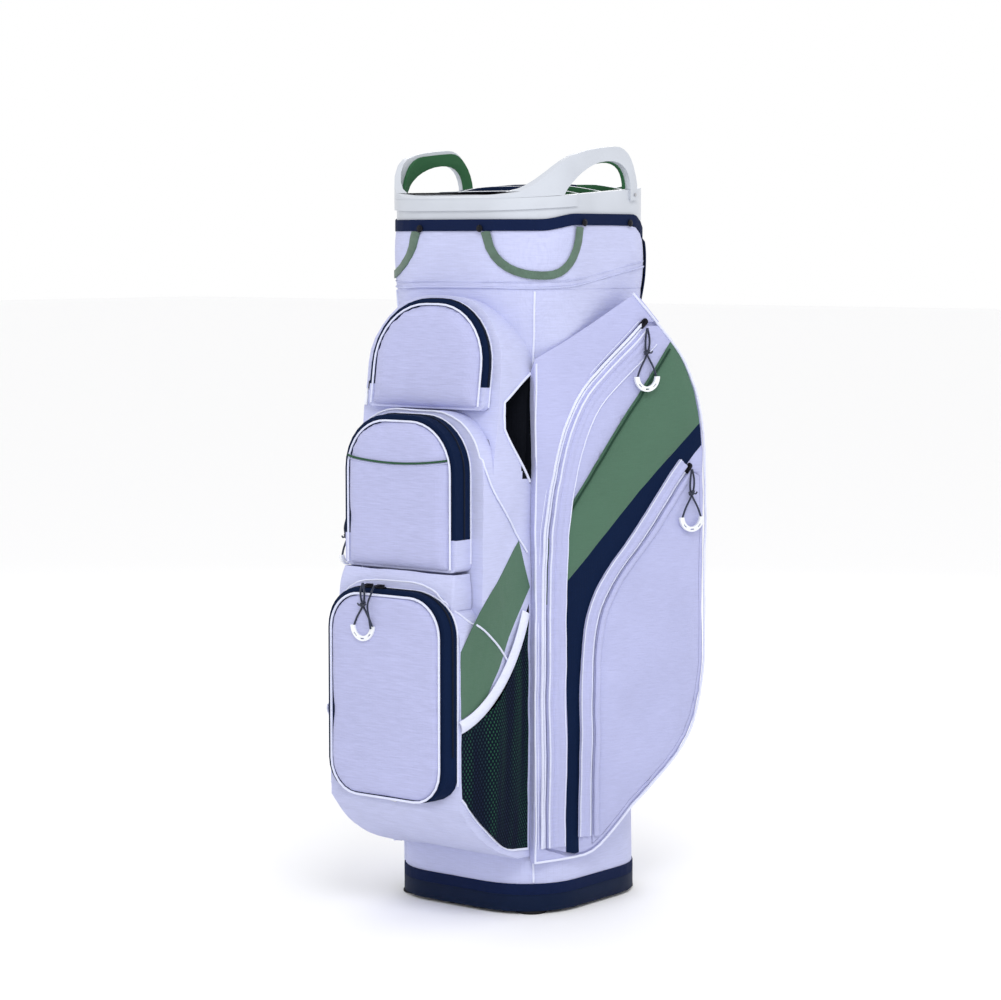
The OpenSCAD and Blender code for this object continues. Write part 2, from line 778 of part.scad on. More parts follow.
module side_shell_right() {
    color(WHITE) difference() {
        intersection() {
            on_side() difference() {
                front_prism(side_outline(), 0, 170);
                cut_yoke();
                front_prism(panel_outline(-2 * zip_half), -1, plate_y);
            }
            linear_extrude(900) polygon(side_plan());
        }
        intersection() {
            on_side() difference() {
                front_prism(side_outline(shell), plate_y + shell, 170);
                translate([0, 0, -2 * shell]) cut_yoke();
            }
            linear_extrude(900) polygon(side_plan(shell));
        }
        on_side() front_prism(panel_outline(5), -1, plate_y + shell + 1);
        tube_solid(0, 0, 900);
        translate([-block_hw, -600, 0]) cube([2 * block_hw, 600 - hd + 40, 900]);
    }
}

module side_shell_left() { left_side() side_shell_right(); }

function green_outline() = [[10, side_top - 316], [42, side_top - 274], [208, side_top - 57], [230, side_top - 30],
    [300, side_top - 60], [300, side_top - 122], [157, side_top - 249], [44, side_top - 358], [10, side_top - 390]];
function navy_outline() = concat(
    [[300, side_top - 122], [157, side_top - 249], [44, side_top - 358], [48, side_z + 198], [47, side_z - 20],
     [66, side_z - 20], [66, side_z + 196]],
    cubic([67, side_z + 230], [72, side_z + 290], [92, side_z + 320], [120, side_z + 350], 6),
    [[152, side_top - 310], [241, side_top - 205], [300, side_top - 150]]);

module side_panel_right() {
    color(WHITE) on_side() difference() {
        front_prism(panel_outline(), 0, panel_t);
        front_prism(green_outline(), -1, panel_t + 1);
        front_prism(navy_outline(), -1, panel_t + 1);
        front_prism(door_outline(-run), -1, panel_t + 1);
        for (d = [[-2, 0], [-1, -1], [-2, -1]]) translate([d[0] * run, 0, d[1] * run])
            front_prism(door_outline(), -1, panel_t + 1);
    }
}

module side_panel_left() { left_side() side_panel_right(); }

module green_stripe_right() {
    color(GREEN) on_side() intersection() {
        front_prism(panel_outline(), 0, panel_t);
        front_prism(green_outline(), -1, panel_t + 1);
    }
}

module green_stripe_left() { left_side() green_stripe_right(); }

module navy_stripe_right() {
    color(NAVY) on_side() difference() {
        intersection() {
            front_prism(panel_outline(), 0, panel_t);
            front_prism(navy_outline(), -1, panel_t + 1);
        }
        front_prism(door_outline(-run), -1, panel_t + 1);
        for (d = [[-2, 0], [-1, -1], [-2, -1]]) translate([d[0] * run, 0, d[1] * run])
            front_prism(door_outline(), -1, panel_t + 1);
    }
}

module navy_stripe_left() { left_side() navy_stripe_right(); }

module lower_door_right() {
    color(WHITE) on_side() front_prism(door_outline(), 0, panel_t);
}

module lower_door_left() { left_side() lower_door_right(); }

// The fixed halves of the long zips
module side_zips() {
    color(WHITE) for (s = [0, 1]) mirror([s, 0, 0])
        on_side() front_prism(band(upper_zip(), 2 * zip_half - 1), 1, plate_y);
}

module slide_at(zip_end, zip_next) {
    v = zip_end - zip_next;
    on_side() translate([zip_end[0], 0, zip_end[1]]) rotate([0, 90 - atan2(v[1], v[0]), 0]) children();
}

module upper_slider_right() { slide_at(zip_up, zip_turn) slider_shape(); }
module upper_slider_left() { left_side() upper_slider_right(); }
module upper_pull_right() { on_side() translate([zip_up[0], pull_y, zip_up[1] - 3]) pull_shape(); }
module upper_pull_left() { left_side() upper_pull_right(); }
module lower_slider_right() { slide_at(lower_up, lower_turn) slider_shape(); }
module lower_slider_left() { left_side() lower_slider_right(); }
module lower_pull_right() { on_side() translate([lower_up[0], pull_y, lower_up[1] - 3]) pull_shape(); }
module lower_pull_left() { left_side() lower_pull_right(); }

/* ---- spine and shoulder strap ---- */

spine_w = 84;
spine_t = 5;
ring_r = 14;
ring_bar = 2;
ring_y = hd + spine_t + ring_r + ring_bar + 0.2;
link_r = 9;
link_gap = 0.4;
tab_w = 16;
ring_top = seam_z - 36;
ring_foot = ring_top - strap_span;
web_t = 2;
bow = 32;

module spine_pad() {
    color(NAVY) difference() {
        front_prism(arch(spine_w / 2, base_h + band_h + 12, seam_z - 6, 12, 12), hd - 1, hd + spine_t);
        tube_solid(0, 0, 900);
    }
}

module at_ring(z, up) {
    translate([0, ring_y, z]) mirror([0, 0, up]) children();
}

// Rings of the strap, each held to the spine by a sewn tab
module strap_rings() {
    for (z = [ring_top, ring_foot]) translate([0, 0, z]) {
        color(METAL) translate([0, ring_y, 0]) rotate([0, 90, 0])
            rotate_extrude() translate([ring_r, 0]) circle(r = ring_bar);
        color(NAVY) translate([-tab_w / 2, hd + spine_t, -8]) cube([tab_w, 2 * ring_bar + 0.8, 16]);
    }
}

// Each hook's eye is linked through its ring, and its shank runs into the webbing
link_z = -ring_r + 2 * ring_bar + link_gap - link_r;
shank_z = link_z - link_r - 16;
web_z = shank_z - 0.8;

module strap_hooks() {
    color(BLACK) for (up = [0, 1]) at_ring(up == 0 ? ring_top : ring_foot, up) {
        translate([0, 0, link_z]) rotate([90, 0, 0])
            rotate_extrude() translate([link_r, 0]) circle(r = ring_bar);
        translate([-6, -2.5, shank_z]) cube([12, 5, 16]);
    }
}

function strap_path() = cubic([ring_y, ring_top + web_z], [ring_y + bow, ring_top + web_z - 60],
    [ring_y + bow, ring_foot - web_z + 60], [ring_y, ring_foot - web_z], 14);
function middle(p, n) = [for (i = [n:len(p) - 1 - n]) p[i]];

module strap_webbing() {
    color(NAVY) difference() {
        side_prism(band(strap_path(), web_t), -web_w / 2, web_w / 2);
        side_prism(band(middle(strap_path(), 3), pad_t), -pad_w / 2, pad_w / 2);
    }
}

module strap_pad() {
    color(NAVY) side_prism(band(middle(strap_path(), 3), pad_t), -pad_w / 2, pad_w / 2);
}

base_cup();
base_feet();
navy_bands();
body_tube();
frame_stays();
cuff_skirt();
hood_studs();
collar();
handle_hoop();
hoop_screws();
divider_grid();
divider_sheets();
grip_left();
grip_right();
web_loop_left();
web_loop_right();
ball_block();
mid_block();
top_block();
front_stripes();
mesh_left();
mesh_right();
mesh_bindings();
ball_face();
ball_gusset();
ball_slider_left();
ball_slider_right();
ball_pull();
mid_face();
mid_gusset();
mid_slider();
mid_pull();
top_face();
top_gusset();
top_slider();
top_pull();
side_shell_left();
side_shell_right();
side_panel_left();
side_panel_right();
green_stripe_left();
green_stripe_right();
navy_stripe_left();
navy_stripe_right();
lower_door_left();
lower_door_right();
upper_slider_left();
upper_slider_right();
upper_pull_left();
upper_pull_right();
lower_slider_left();
lower_slider_right();
lower_pull_left();
lower_pull_right();
side_zips();
spine_pad();
strap_rings();
strap_hooks();
strap_pad();
strap_webbing();
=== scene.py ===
# Golf cart bag: a padded fabric tube on a moulded base, with a moulded collar and handles,
# stacked zip pockets down the front, a swinging pocket on each side and a shoulder strap.
# Metres, +Z up, -Y towards the front pockets, +X towards the right side pocket.
from math import cos, pi, radians, sin, sqrt

import bpy
from mathutils import Matrix, Vector, kdtree, noise


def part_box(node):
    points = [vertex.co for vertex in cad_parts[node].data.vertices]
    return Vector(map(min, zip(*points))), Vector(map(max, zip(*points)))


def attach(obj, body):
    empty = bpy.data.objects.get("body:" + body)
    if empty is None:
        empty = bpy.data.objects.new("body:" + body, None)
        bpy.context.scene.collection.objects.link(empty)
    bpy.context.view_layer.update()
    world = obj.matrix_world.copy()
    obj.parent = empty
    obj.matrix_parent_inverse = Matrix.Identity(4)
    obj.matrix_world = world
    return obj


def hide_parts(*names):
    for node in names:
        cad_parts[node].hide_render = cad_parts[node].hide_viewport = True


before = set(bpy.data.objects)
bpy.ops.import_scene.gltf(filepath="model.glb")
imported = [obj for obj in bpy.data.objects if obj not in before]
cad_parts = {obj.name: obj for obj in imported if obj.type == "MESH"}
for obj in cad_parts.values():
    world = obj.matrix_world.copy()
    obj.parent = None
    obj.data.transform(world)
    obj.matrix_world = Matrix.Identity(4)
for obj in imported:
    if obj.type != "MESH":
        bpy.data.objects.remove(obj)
noise.seed_set(5)  # so that the fabric waves the same way every time
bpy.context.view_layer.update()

# ---- moulded base cup ----
# The tub that the tube stands in: injection moulded, lightly textured navy plastic,
# with a flange inside the tube that the fabric is riveted to.


def only(piece):
    """Selects one piece and makes it active."""
    bpy.ops.object.select_all(action="DESELECT")
    piece.select_set(True)
    bpy.context.view_layer.objects.active = piece


def new_piece(name, mesh):
    piece = bpy.data.objects.new(name, mesh)
    bpy.context.scene.collection.objects.link(piece)
    only(piece)
    return piece


def copy_of(name, node):
    """A merged copy of a CAD node's mesh, with its flat faces whole."""
    piece = new_piece(name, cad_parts[node].data.copy())
    piece.data.materials.clear()
    bpy.ops.mesh.customdata_custom_splitnormals_clear()
    bpy.ops.object.mode_set(mode="EDIT")
    bpy.ops.mesh.select_all(action="SELECT")
    bpy.ops.mesh.remove_doubles(threshold=0.00002)
    bpy.ops.mesh.dissolve_limited(angle_limit=radians(0.6))
    bpy.ops.mesh.normals_make_consistent(inside=False)
    bpy.ops.object.mode_set(mode="OBJECT")
    return piece


def apply_all(piece):
    only(piece)
    for modifier in list(piece.modifiers):
        bpy.ops.object.modifier_apply(modifier=modifier.name)


def round_edges(piece, width, segments=2, angle=35):
    bevel = piece.modifiers.new("round", "BEVEL")
    bevel.width = width
    bevel.segments = segments
    bevel.limit_method = "ANGLE"
    bevel.angle_limit = radians(angle)
    bevel.use_clamp_overlap = True
    apply_all(piece)


def smooth(piece, angle=40):
    only(piece)
    bpy.ops.object.shade_smooth_by_angle(angle=radians(angle))


def wire(tree, pairs):
    for source, target in pairs:
        tree.links.new(source, target)


def new_material(name, colour, roughness):
    material = bpy.data.materials.new(name)
    material.use_nodes = True
    tree = material.node_tree
    shader = tree.nodes["Principled BSDF"]
    shader.inputs["Base Color"].default_value = (*colour, 1)
    shader.inputs["Roughness"].default_value = roughness
    return material, tree, shader


def object_coordinates(tree, scale=(1, 1, 1), turn=(0, 0, 0)):
    place = tree.nodes.new("ShaderNodeTexCoord")
    mapping = tree.nodes.new("ShaderNodeMapping")
    mapping.inputs["Scale"].default_value = scale
    mapping.inputs["Rotation"].default_value = turn
    wire(tree, [(place.outputs["Object"], mapping.inputs["Vector"])])
    return mapping.outputs["Vector"]


def noise_texture(tree, vector, scale, detail=3):
    node = tree.nodes.new("ShaderNodeTexNoise")
    node.inputs["Scale"].default_value = scale
    node.inputs["Detail"].default_value = detail
    wire(tree, [(vector, node.inputs["Vector"])])
    return node.outputs["Fac"]


def wave_texture(tree, vector, direction, pitch):
    """Soft stripes across one axis, a pitch apart."""
    node = tree.nodes.new("ShaderNodeTexWave")
    node.bands_direction = direction
    node.inputs["Scale"].default_value = 0.31416 / pitch
    wire(tree, [(vector, node.inputs["Vector"])])
    return node.outputs["Fac"]


def maths(tree, operation, a, b):
    node = tree.nodes.new("ShaderNodeMath")
    node.operation = operation
    for socket, value in zip(node.inputs, (a, b)):
        if isinstance(value, (int, float)):
            socket.default_value = value
        else:
            wire(tree, [(value, socket)])
    return node.outputs[0]


def shade_between(tree, shader, factor, low, high, dark, light):
    """Colours the surface from dark to light as factor goes from low to high."""
    ramp = tree.nodes.new("ShaderNodeValToRGB")
    ramp.color_ramp.elements[0].position = low
    ramp.color_ramp.elements[0].color = (*dark, 1)
    ramp.color_ramp.elements[1].position = high
    ramp.color_ramp.elements[1].color = (*light, 1)
    wire(tree, [(factor, ramp.inputs[0]), (ramp.outputs[0], shader.inputs["Base Color"])])


def bump(tree, shader, heights):
    """Stacks bumps, each a pair of a height and its depth in metres."""
    normal = None
    for height, depth in heights:
        node = tree.nodes.new("ShaderNodeBump")
        node.inputs["Strength"].default_value = 1
        node.inputs["Distance"].default_value = depth
        wire(tree, [(height, node.inputs["Height"])])
        if normal is not None:
            wire(tree, [(normal, node.inputs["Normal"])])
        normal = node.outputs["Normal"]
    wire(tree, [(normal, shader.inputs["Normal"])])


def tint(colour, share):
    return tuple(channel * share for channel in colour)


def plastic(name, colour, roughness, grain, depth, coat=0.0):
    """Moulded plastic: a fine grain and slow patches of gloss."""
    material, tree, shader = new_material(name, colour, roughness)
    vector = object_coordinates(tree)
    slow = noise_texture(tree, vector, 14, 2)
    shade_between(tree, shader, slow, 0.3, 0.7, tint(colour, 0.93), tint(colour, 1.04))
    bump(tree, shader, [(noise_texture(tree, vector, grain, 2), depth)])
    gloss = maths(tree, "MULTIPLY_ADD", noise_texture(tree, vector, 40, 3), 0.16)
    gloss.node.inputs[2].default_value = roughness - 0.08
    wire(tree, [(gloss, shader.inputs["Roughness"])])
    shader.inputs["Coat Weight"].default_value = coat
    shader.inputs["Specular IOR Level"].default_value = 0.12 if colour[0] < 0.05 else 0.5
    return material


def finish(piece, material, slot, body, *nodes):
    """Gives a piece its material, its body and the CAD nodes that it stands for."""
    piece.data.materials.clear()
    piece.data.materials.append(material)
    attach(piece, body)
    if nodes:
        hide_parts(*nodes)
    return piece


base_plastic = plastic("navy_base_plastic", (0.0015, 0.008, 0.032), 0.6, 900, 0.0002)
base = copy_of("base_tub", "base_cup")
round_edges(base, 0.0016, 3)
smooth(base)
finish(base, base_plastic, "base_plastic", "bag", "base_cup")

# ---- rubber feet ----
# Five round pads pressed into the underside of the base, black rubber.

foot_rubber = plastic("foot_rubber", (0.012, 0.012, 0.014), 0.8, 500, 0.0002)
feet = copy_of("rubber_feet", "base_feet")
round_edges(feet, 0.0012, 2)
smooth(feet)
finish(feet, foot_rubber, "foot_rubber", "bag", "base_feet")

# ---- fabric tube ----
# Coated ripstop over foam, sewn into a rounded square tube with a piped seam down each
# front corner. Its top flares a little to meet the padded cuff.

tube_low, tube_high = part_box("body_tube")
tube_half = tube_high.x
tube_corner = 0.078
skirt_low, skirt_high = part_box("cuff_skirt")
cuff_grow = skirt_high.x - tube_half


def fabric(name, colour, thread, streak, rip=0.0, turn=0.0, roughness=0.78, sheen=0.15):
    """Woven cloth: threads, ripstop lines, streaks along the weft and slow creases."""
    material, tree, shader = new_material(name, colour, roughness)
    vector = object_coordinates(tree, turn=(0, 0, turn))
    threads = wave_texture(tree, vector, "X", thread)
    for direction in "YZ":
        threads = maths(tree, "ADD", threads, wave_texture(tree, vector, direction, thread))
    weft = noise_texture(tree, object_coordinates(tree, (55, 55, 850), (0, 0, turn)), 1, 2)
    slow = noise_texture(tree, vector, 9, 3)
    fine_part = maths(tree, "MULTIPLY", weft, streak)
    slow_part = maths(tree, "MULTIPLY", slow, 1 - streak)
    tone = maths(tree, "ADD", fine_part, slow_part)
    if rip:
        level_lines = wave_texture(tree, vector, "Z", rip)
        upright_lines = wave_texture(tree, vector, "X", rip)
        lines = maths(tree, "MAXIMUM", level_lines, upright_lines)
        lines = maths(tree, "POWER", lines, 14)
        tone = maths(tree, "SUBTRACT", tone, maths(tree, "MULTIPLY", lines, 0.05))
    shade_between(tree, shader, tone, 0.33, 0.67, tint(colour, 0.91), tint(colour, 1.05))
    creases = noise_texture(tree, vector, 24, 4)
    bump(tree, shader, [(creases, 0.0022), (weft, 0.0003), (threads, 0.00012)])
    dark = colour[0] < 0.05
    shader.inputs["Sheen Weight"].default_value = 0.0 if dark else sheen
    shader.inputs["Sheen Roughness"].default_value = 0.5
    shader.inputs["Specular IOR Level"].default_value = 0.10 if dark else 0.3
    return material


white_colour = (0.53, 0.555, 0.80)
white_fabric = fabric("white_ripstop", white_colour, 0.0011, 0.55, 0.0046)
piping_fabric = fabric("white_piping", (0.74, 0.77, 0.95), 0.0009, 0.4)


def cut_grid(piece, pitch):
    """Cuts a piece into squares of about one pitch, so that it can bend like cloth."""
    only(piece)
    lows = [min(v.co[i] for v in piece.data.vertices) for i in range(3)]
    highs = [max(v.co[i] for v in piece.data.vertices) for i in range(3)]
    bpy.ops.object.mode_set(mode="EDIT")
    for axis in range(3):
        normal = [float(i == axis) for i in range(3)]
        count = int((highs[axis] - lows[axis]) / pitch)
        for step in range(1, count + 1):
            place = [0.0, 0.0, 0.0]
            place[axis] = lows[axis] + (highs[axis] - lows[axis]) * step / (count + 1)
            bpy.ops.mesh.select_all(action="SELECT")
            bpy.ops.mesh.bisect(plane_co=place, plane_no=normal)
    bpy.ops.object.mode_set(mode="OBJECT")


def drape(point):
    """The slow waves of sewn fabric, the same for every piece, so that seams stay shut."""
    slow = noise.noise_vector(point * 13) * 0.0022
    quick = noise.noise_vector(point * 34 + Vector((5, 2, 9))) * 0.0009
    return slow + quick


def move_points(piece, shift):
    for vertex in piece.data.vertices:
        vertex.co += shift(vertex.co.copy())
    piece.data.update()


def smoothstep(low, high, value):
    t = min(max((value - low) / (high - low), 0), 1)
    return t * t * (3 - 2 * t)


def outward(point):
    """The direction from the tube's own axis, square to its rounded wall."""
    core = tube_half - tube_corner
    flat = Vector((point.x - min(max(point.x, -core), core), point.y - min(max(point.y, -core), core), 0))
    return flat.normalized() if flat.length > 0 else flat


def wall_distance(point):
    """How far a point is outside the fabric tube."""
    core = tube_half - tube_corner
    flat = Vector((point.x - min(max(point.x, -core), core), point.y - min(max(point.y, -core), core), 0))
    return flat.length - tube_corner


def flare(point):
    if wall_distance(point) < -0.001:
        return Vector((0, 0, 0))
    grow = (cuff_grow - 0.0006) * smoothstep(skirt_low.z - 0.085, skirt_low.z - 0.002, point.z)
    return outward(point) * grow + drape(point) * 0.6


def tube_path(grow, z, start=0, stop=360, step=4):
    """Points round the tube at one height, from the right side towards the back."""
    core = tube_half - tube_corner
    points = []
    for turn in range(start, stop, step):
        a = radians(turn)
        x = core if cos(a) > 0 else -core
        y = core if sin(a) > 0 else -core
        edge = tube_corner + grow
        points.append(Vector((x + edge * cos(a), y + edge * sin(a), z)))
    return points


def tube_along(name, points, radius, closed=False, sides=3):
    """A round cord laid along a path, as a mesh."""
    curve = bpy.data.curves.new(name, "CURVE")
    curve.dimensions = "3D"
    curve.bevel_depth = radius
    curve.bevel_resolution = sides
    curve.use_fill_caps = True
    spline = curve.splines.new("POLY")
    spline.points.add(len(points) - 1)
    for dot, point in zip(spline.points, points):
        dot.co = (*point, 1)
    spline.use_cyclic_u = closed
    piece = new_piece(name, curve)
    bpy.ops.object.convert(target="MESH")
    bpy.ops.object.shade_smooth()
    return bpy.context.view_layer.objects.active


def strip(name, rows, thickness):
    """A ribbon of cloth through rows of points, closed to a thickness behind it."""
    count = len(rows[0])
    points = [tuple(p) for row in rows for p in row]
    faces = []
    for r in range(len(rows) - 1):
        for c in range(count - 1):
            a = r * count + c
            faces.append((a, a + 1, a + count + 1, a + count))
    mesh = bpy.data.meshes.new(name)
    mesh.from_pydata(points, [], faces)
    piece = new_piece(name, mesh)
    solid = piece.modifiers.new("solid", "SOLIDIFY")
    solid.thickness = thickness
    solid.offset = 0
    apply_all(piece)
    bpy.ops.object.mode_set(mode="EDIT")
    bpy.ops.mesh.select_all(action="SELECT")
    bpy.ops.mesh.normals_make_consistent(inside=False)
    bpy.ops.object.mode_set(mode="OBJECT")
    bpy.ops.object.shade_smooth_by_angle(angle=radians(50))
    return piece


def joined(name, parts):
    bpy.ops.object.select_all(action="DESELECT")
    for part in parts:
        part.select_set(True)
    bpy.context.view_layer.objects.active = parts[0]
    bpy.ops.object.join()
    piece = bpy.context.view_layer.objects.active
    piece.name = name
    piece.data.name = name
    return piece


tube = copy_of("fabric_tube", "body_tube")
cut_grid(tube, 0.018)
move_points(tube, flare)
smooth(tube, 60)
finish(tube, white_fabric, "white_fabric", "bag", "body_tube")
# Near-black cloth for faces that the light hardly reaches: painted shade.
painted_shade_lining = fabric("painted_shade_black_cloth", (0.003, 0.004, 0.008), 0.0014, 0.3)
tube.data.materials.append(painted_shade_lining)
# Faces behind the pockets and on the inside of the tube are painted near-black: painted shade.
for face in tube.data.polygons:
    behind_pockets = face.center.y < -0.030 and abs(face.center.x) < 0.128 and 0.10 < face.center.z < 0.672
    inside_tube = wall_distance(face.center) < -0.002
    face.material_index = 1 if behind_pockets or inside_tube else 0

corner_seams = []
for turn in (-45, 225):
    a = radians(turn)
    core = tube_half - tube_corner
    foot = Vector((core * (1 if cos(a) > 0 else -1), -core, 0))
    run = []
    for step in range(46):
        z = tube_low.z + 0.016 + (skirt_low.z - tube_low.z - 0.018) * step / 45
        point = foot + Vector((cos(a), sin(a), 0)) * (tube_corner + 0.0004)
        point.z = z
        run.append(point + flare(point))
    corner_seams.append(tube_along("corner_seam", run, 0.0015))
corner_piping = joined("tube_corner_piping", corner_seams)
finish(corner_piping, piping_fabric, "white_binding", "bag")

# ---- tubular stays ----
# Four drawn aluminium tubes from the base to the collar, which hold the bag upright.

stay_metal, stay_tree, stay_shader = new_material("drawn_aluminium", (0.62, 0.63, 0.66), 0.35)
stay_shader.inputs["Metallic"].default_value = 1
drawn_grain = noise_texture(stay_tree, object_coordinates(stay_tree, (900, 900, 20)), 1)
bump(stay_tree, stay_shader, [(drawn_grain, 0.0001)])
stays = copy_of("upright_stays", "frame_stays")
round_edges(stays, 0.0006, 2)
smooth(stays)
finish(stays, stay_metal, "stay_metal", "bag", "frame_stays")

# ---- padded cuff ----
# A band of foam-backed ripstop round the top of the tube, sewn down along its lower edge
# with a twin row of stitches that climbs a little towards the back.


def seam_rise(point):
    """How far the cuff's lower seam climbs on the sides, towards the back."""
    beside = smoothstep(0.075, 0.12, abs(point.x))
    return 0.026 * beside * smoothstep(-0.10, 0.11, point.y)


def band_rise(point):
    """The navy band steps up beside the handles and drops behind them."""
    beside = smoothstep(0.085, 0.125, abs(point.x)) * smoothstep(-0.105, -0.06, point.y)
    return beside * (0.007 - 0.018 * smoothstep(0.055, 0.105, point.y))


def pad_cuff(point):
    middle = (skirt_low.z + skirt_high.z) / 2
    swell = 1 - ((point.z - middle) / (skirt_high.z - middle)) ** 2
    shift = outward(point) * 0.0022 * swell + drape(point) * 0.7
    top = smoothstep(skirt_high.z - 0.02, skirt_high.z, point.z)
    shift += Vector((0, 0, band_rise(point) * top)) + outward(point) * 0.0008 * top
    if wall_distance(point) < cuff_grow * 0.5:
        shift *= 0
    return shift


cuff = copy_of("padded_cuff", "cuff_skirt")
cut_grid(cuff, 0.012)
move_points(cuff, pad_cuff)
smooth(cuff, 60)
finish(cuff, white_fabric, "white_fabric", "bag", "cuff_skirt")

seam_lines = []
for rise, radius in ((0.0015, 0.0011), (0.0085, 0.0005)):
    ring = tube_path(cuff_grow + 0.0004, skirt_low.z + rise)
    ring = [p + Vector((0, 0, seam_rise(p))) for p in ring]
    ring = [p + pad_cuff(p) for p in ring]
    seam_lines.append(tube_along("cuff_seam", ring, radius, True))
cuff_seams = joined("cuff_seams", seam_lines)
seam_fabric = fabric("seam_thread", (0.52, 0.55, 0.80), 0.0009, 0.4)
finish(cuff_seams, seam_fabric, "white_binding", "bag")

# ---- back corner strips ----
# Navy webbing sewn down both back corners of the cuff, to take the pull of the strap.

corner_tape = fabric("navy_corner_tape", (0.004, 0.011, 0.045), 0.0011, 0.3)
corner_strips = []
for first in (34, 118):
    strip_rows = []
    for step in range(13):
        z = skirt_low.z - 0.034 + (skirt_high.z - skirt_low.z + 0.032) * step / 12
        row = tube_path(cuff_grow + 0.0030, z, first, first + 29, 4)
        strip_rows.append([p + pad_cuff(p) for p in row])
    corner_strips.append(strip("corner_strip", strip_rows, 0.0016))
finish(joined("back_corner_strips", corner_strips), corner_tape, "navy_binding", "bag")

# ---- navy bands ----
# Folded woven tape: one round the foot of the tube above the base, one that binds the top
# edge of the cuff to the collar.

navy_tape = fabric("navy_tape", (0.004, 0.011, 0.048), 0.0011, 0.3)


def fold_band(point):
    if point.z < 0.1:
        return Vector((0, 0, 0))
    grow = outward(point) * (0.0012 if wall_distance(point) > 0.004 else 0)
    return Vector((0, 0, band_rise(point))) + grow


bands = copy_of("navy_bands", "navy_bands")
cut_grid(bands, 0.010)
move_points(bands, fold_band)
round_edges(bands, 0.0012, 2, 60)
smooth(bands)
finish(bands, navy_tape, "navy_binding", "bag", "navy_bands")

# ---- hood studs ----
# Black press studs on the band, for the rain hood.

stud_plastic = plastic("stud_plastic", (0.008, 0.008, 0.012), 0.3, 700, 0.0001)
studs = copy_of("hood_studs", "hood_studs")
move_points(studs, lambda p: outward(p) * 0.0022 + Vector((0, 0, band_rise(p) - 0.004)))
round_edges(studs, 0.0006, 2)
smooth(studs)
finish(studs, stud_plastic, "stud_plastic", "bag", "hood_studs")

# ---- moulded collar ----
# A satin white ring screwed to the stays, with a flange that carries the dividers.

collar_plastic = plastic("satin_white_plastic", (0.54, 0.57, 0.63), 0.32, 1400, 0.00004)
collar = copy_of("collar_ring", "collar")
round_edges(collar, 0.0010, 3)
smooth(collar)
finish(collar, collar_plastic, "collar_plastic", "bag", "collar")

# ---- hoop with its two handles ----
# One white moulding round the collar that sweeps up into an arch over each side.

hoop = copy_of("handle_hoop", "handle_hoop")
round_edges(hoop, 0.0026, 4, 30)
smooth(hoop, 50)
finish(hoop, collar_plastic, "collar_plastic", "bag", "handle_hoop")

screw_metal, screw_tree, screw_shader = new_material("screw_steel", (0.5, 0.5, 0.52), 0.3)
screw_shader.inputs["Metallic"].default_value = 1
bump(screw_tree, screw_shader, [(noise_texture(screw_tree, object_coordinates(screw_tree), 900), 0.00005)])
screws = copy_of("hoop_screws", "hoop_screws")
round_edges(screws, 0.0004, 2)
smooth(screws)
finish(screws, screw_metal, "screw_metal", "bag", "hoop_screws")

# ---- grip liners ----
# Green soft-touch rubber moulded over the inside of each arch, with a short slot.

grip_rubber = plastic("green_grip_rubber", (0.030, 0.115, 0.048), 0.62, 1100, 0.00025)
for side in ("left", "right"):
    grip = copy_of("grip_liner_" + side, "grip_" + side)
    round_edges(grip, 0.0012, 3, 30)
    smooth(grip, 50)
    finish(grip, grip_rubber, "grip_rubber", "bag", "grip_" + side)

# ---- divider grid ----
# Three columns of five wells. The ribs are white on top and covered in navy fabric below.

rib_fabric = fabric("navy_rib_cover", (0.006, 0.016, 0.055), 0.0010, 0.3)
def dome(point):
    """The ribs and the sheets below them crown towards the middle of the collar."""
    reach = max(abs(point.x), abs(point.y)) / 0.118
    return Vector((0, 0, 0.012 * max(0.0, 1 - reach * reach) * smoothstep(0.80, 0.87, point.z)))


grid = copy_of("divider_ribs", "divider_grid")
round_edges(grid, 0.0008, 2)
cut_grid(grid, 0.016)
move_points(grid, dome)
smooth(grid)
finish(grid, collar_plastic, "collar_plastic", "bag", "divider_grid")
grid.data.materials.append(rib_fabric)
grid.data.materials.append(grip_rubber)
for face in grid.data.polygons:
    cover = 2 if face.center.x > 0.045 else 1
    face.material_index = 0 if face.normal.z > 0.5 else cover

# ---- divider sheets ----
# Fourteen brushed nylon sheets that hang from the ribs to the base, so that the grips of
# the clubs don't tangle. Each is cut straight and waves a little where nothing touches it.

sheet_fabric = fabric("brushed_nylon", (0.010, 0.022, 0.070), 0.0014, 0.4)
sheets = copy_of("divider_sheets", "divider_sheets")
cut_grid(sheets, 0.030)
sheet_low, sheet_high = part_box("divider_sheets")


def hang(point):
    t = (point.z - sheet_low.z) / (sheet_high.z - sheet_low.z)
    wave = noise.noise_vector(Vector((point.x * 9, point.y * 9, point.z * 6)))
    wave.z = 0
    return wave * 0.0035 * sin(pi * t) + dome(point)


def middle(piece):
    places = [vertex.co for vertex in piece.data.vertices]
    return tuple(round(sum(p[i] for p in places) / len(places), 3) for i in range(3))


only(sheets)
bpy.ops.object.mode_set(mode="EDIT")
bpy.ops.mesh.select_all(action="SELECT")
bpy.ops.mesh.separate(type="LOOSE")
bpy.ops.object.mode_set(mode="OBJECT")
for number, sheet in enumerate(sorted(bpy.context.selected_objects, key=middle), 1):
    sheet.name = f"club_sheet_{number}"
    move_points(sheet, hang)
    smooth(sheet, 60)
    finish(sheet, sheet_fabric, "divider_fabric", "bag", "divider_sheets")

# ---- webbing loops ----
# Green nylon webbing sewn under the navy band at both front corners. It hangs in a U.


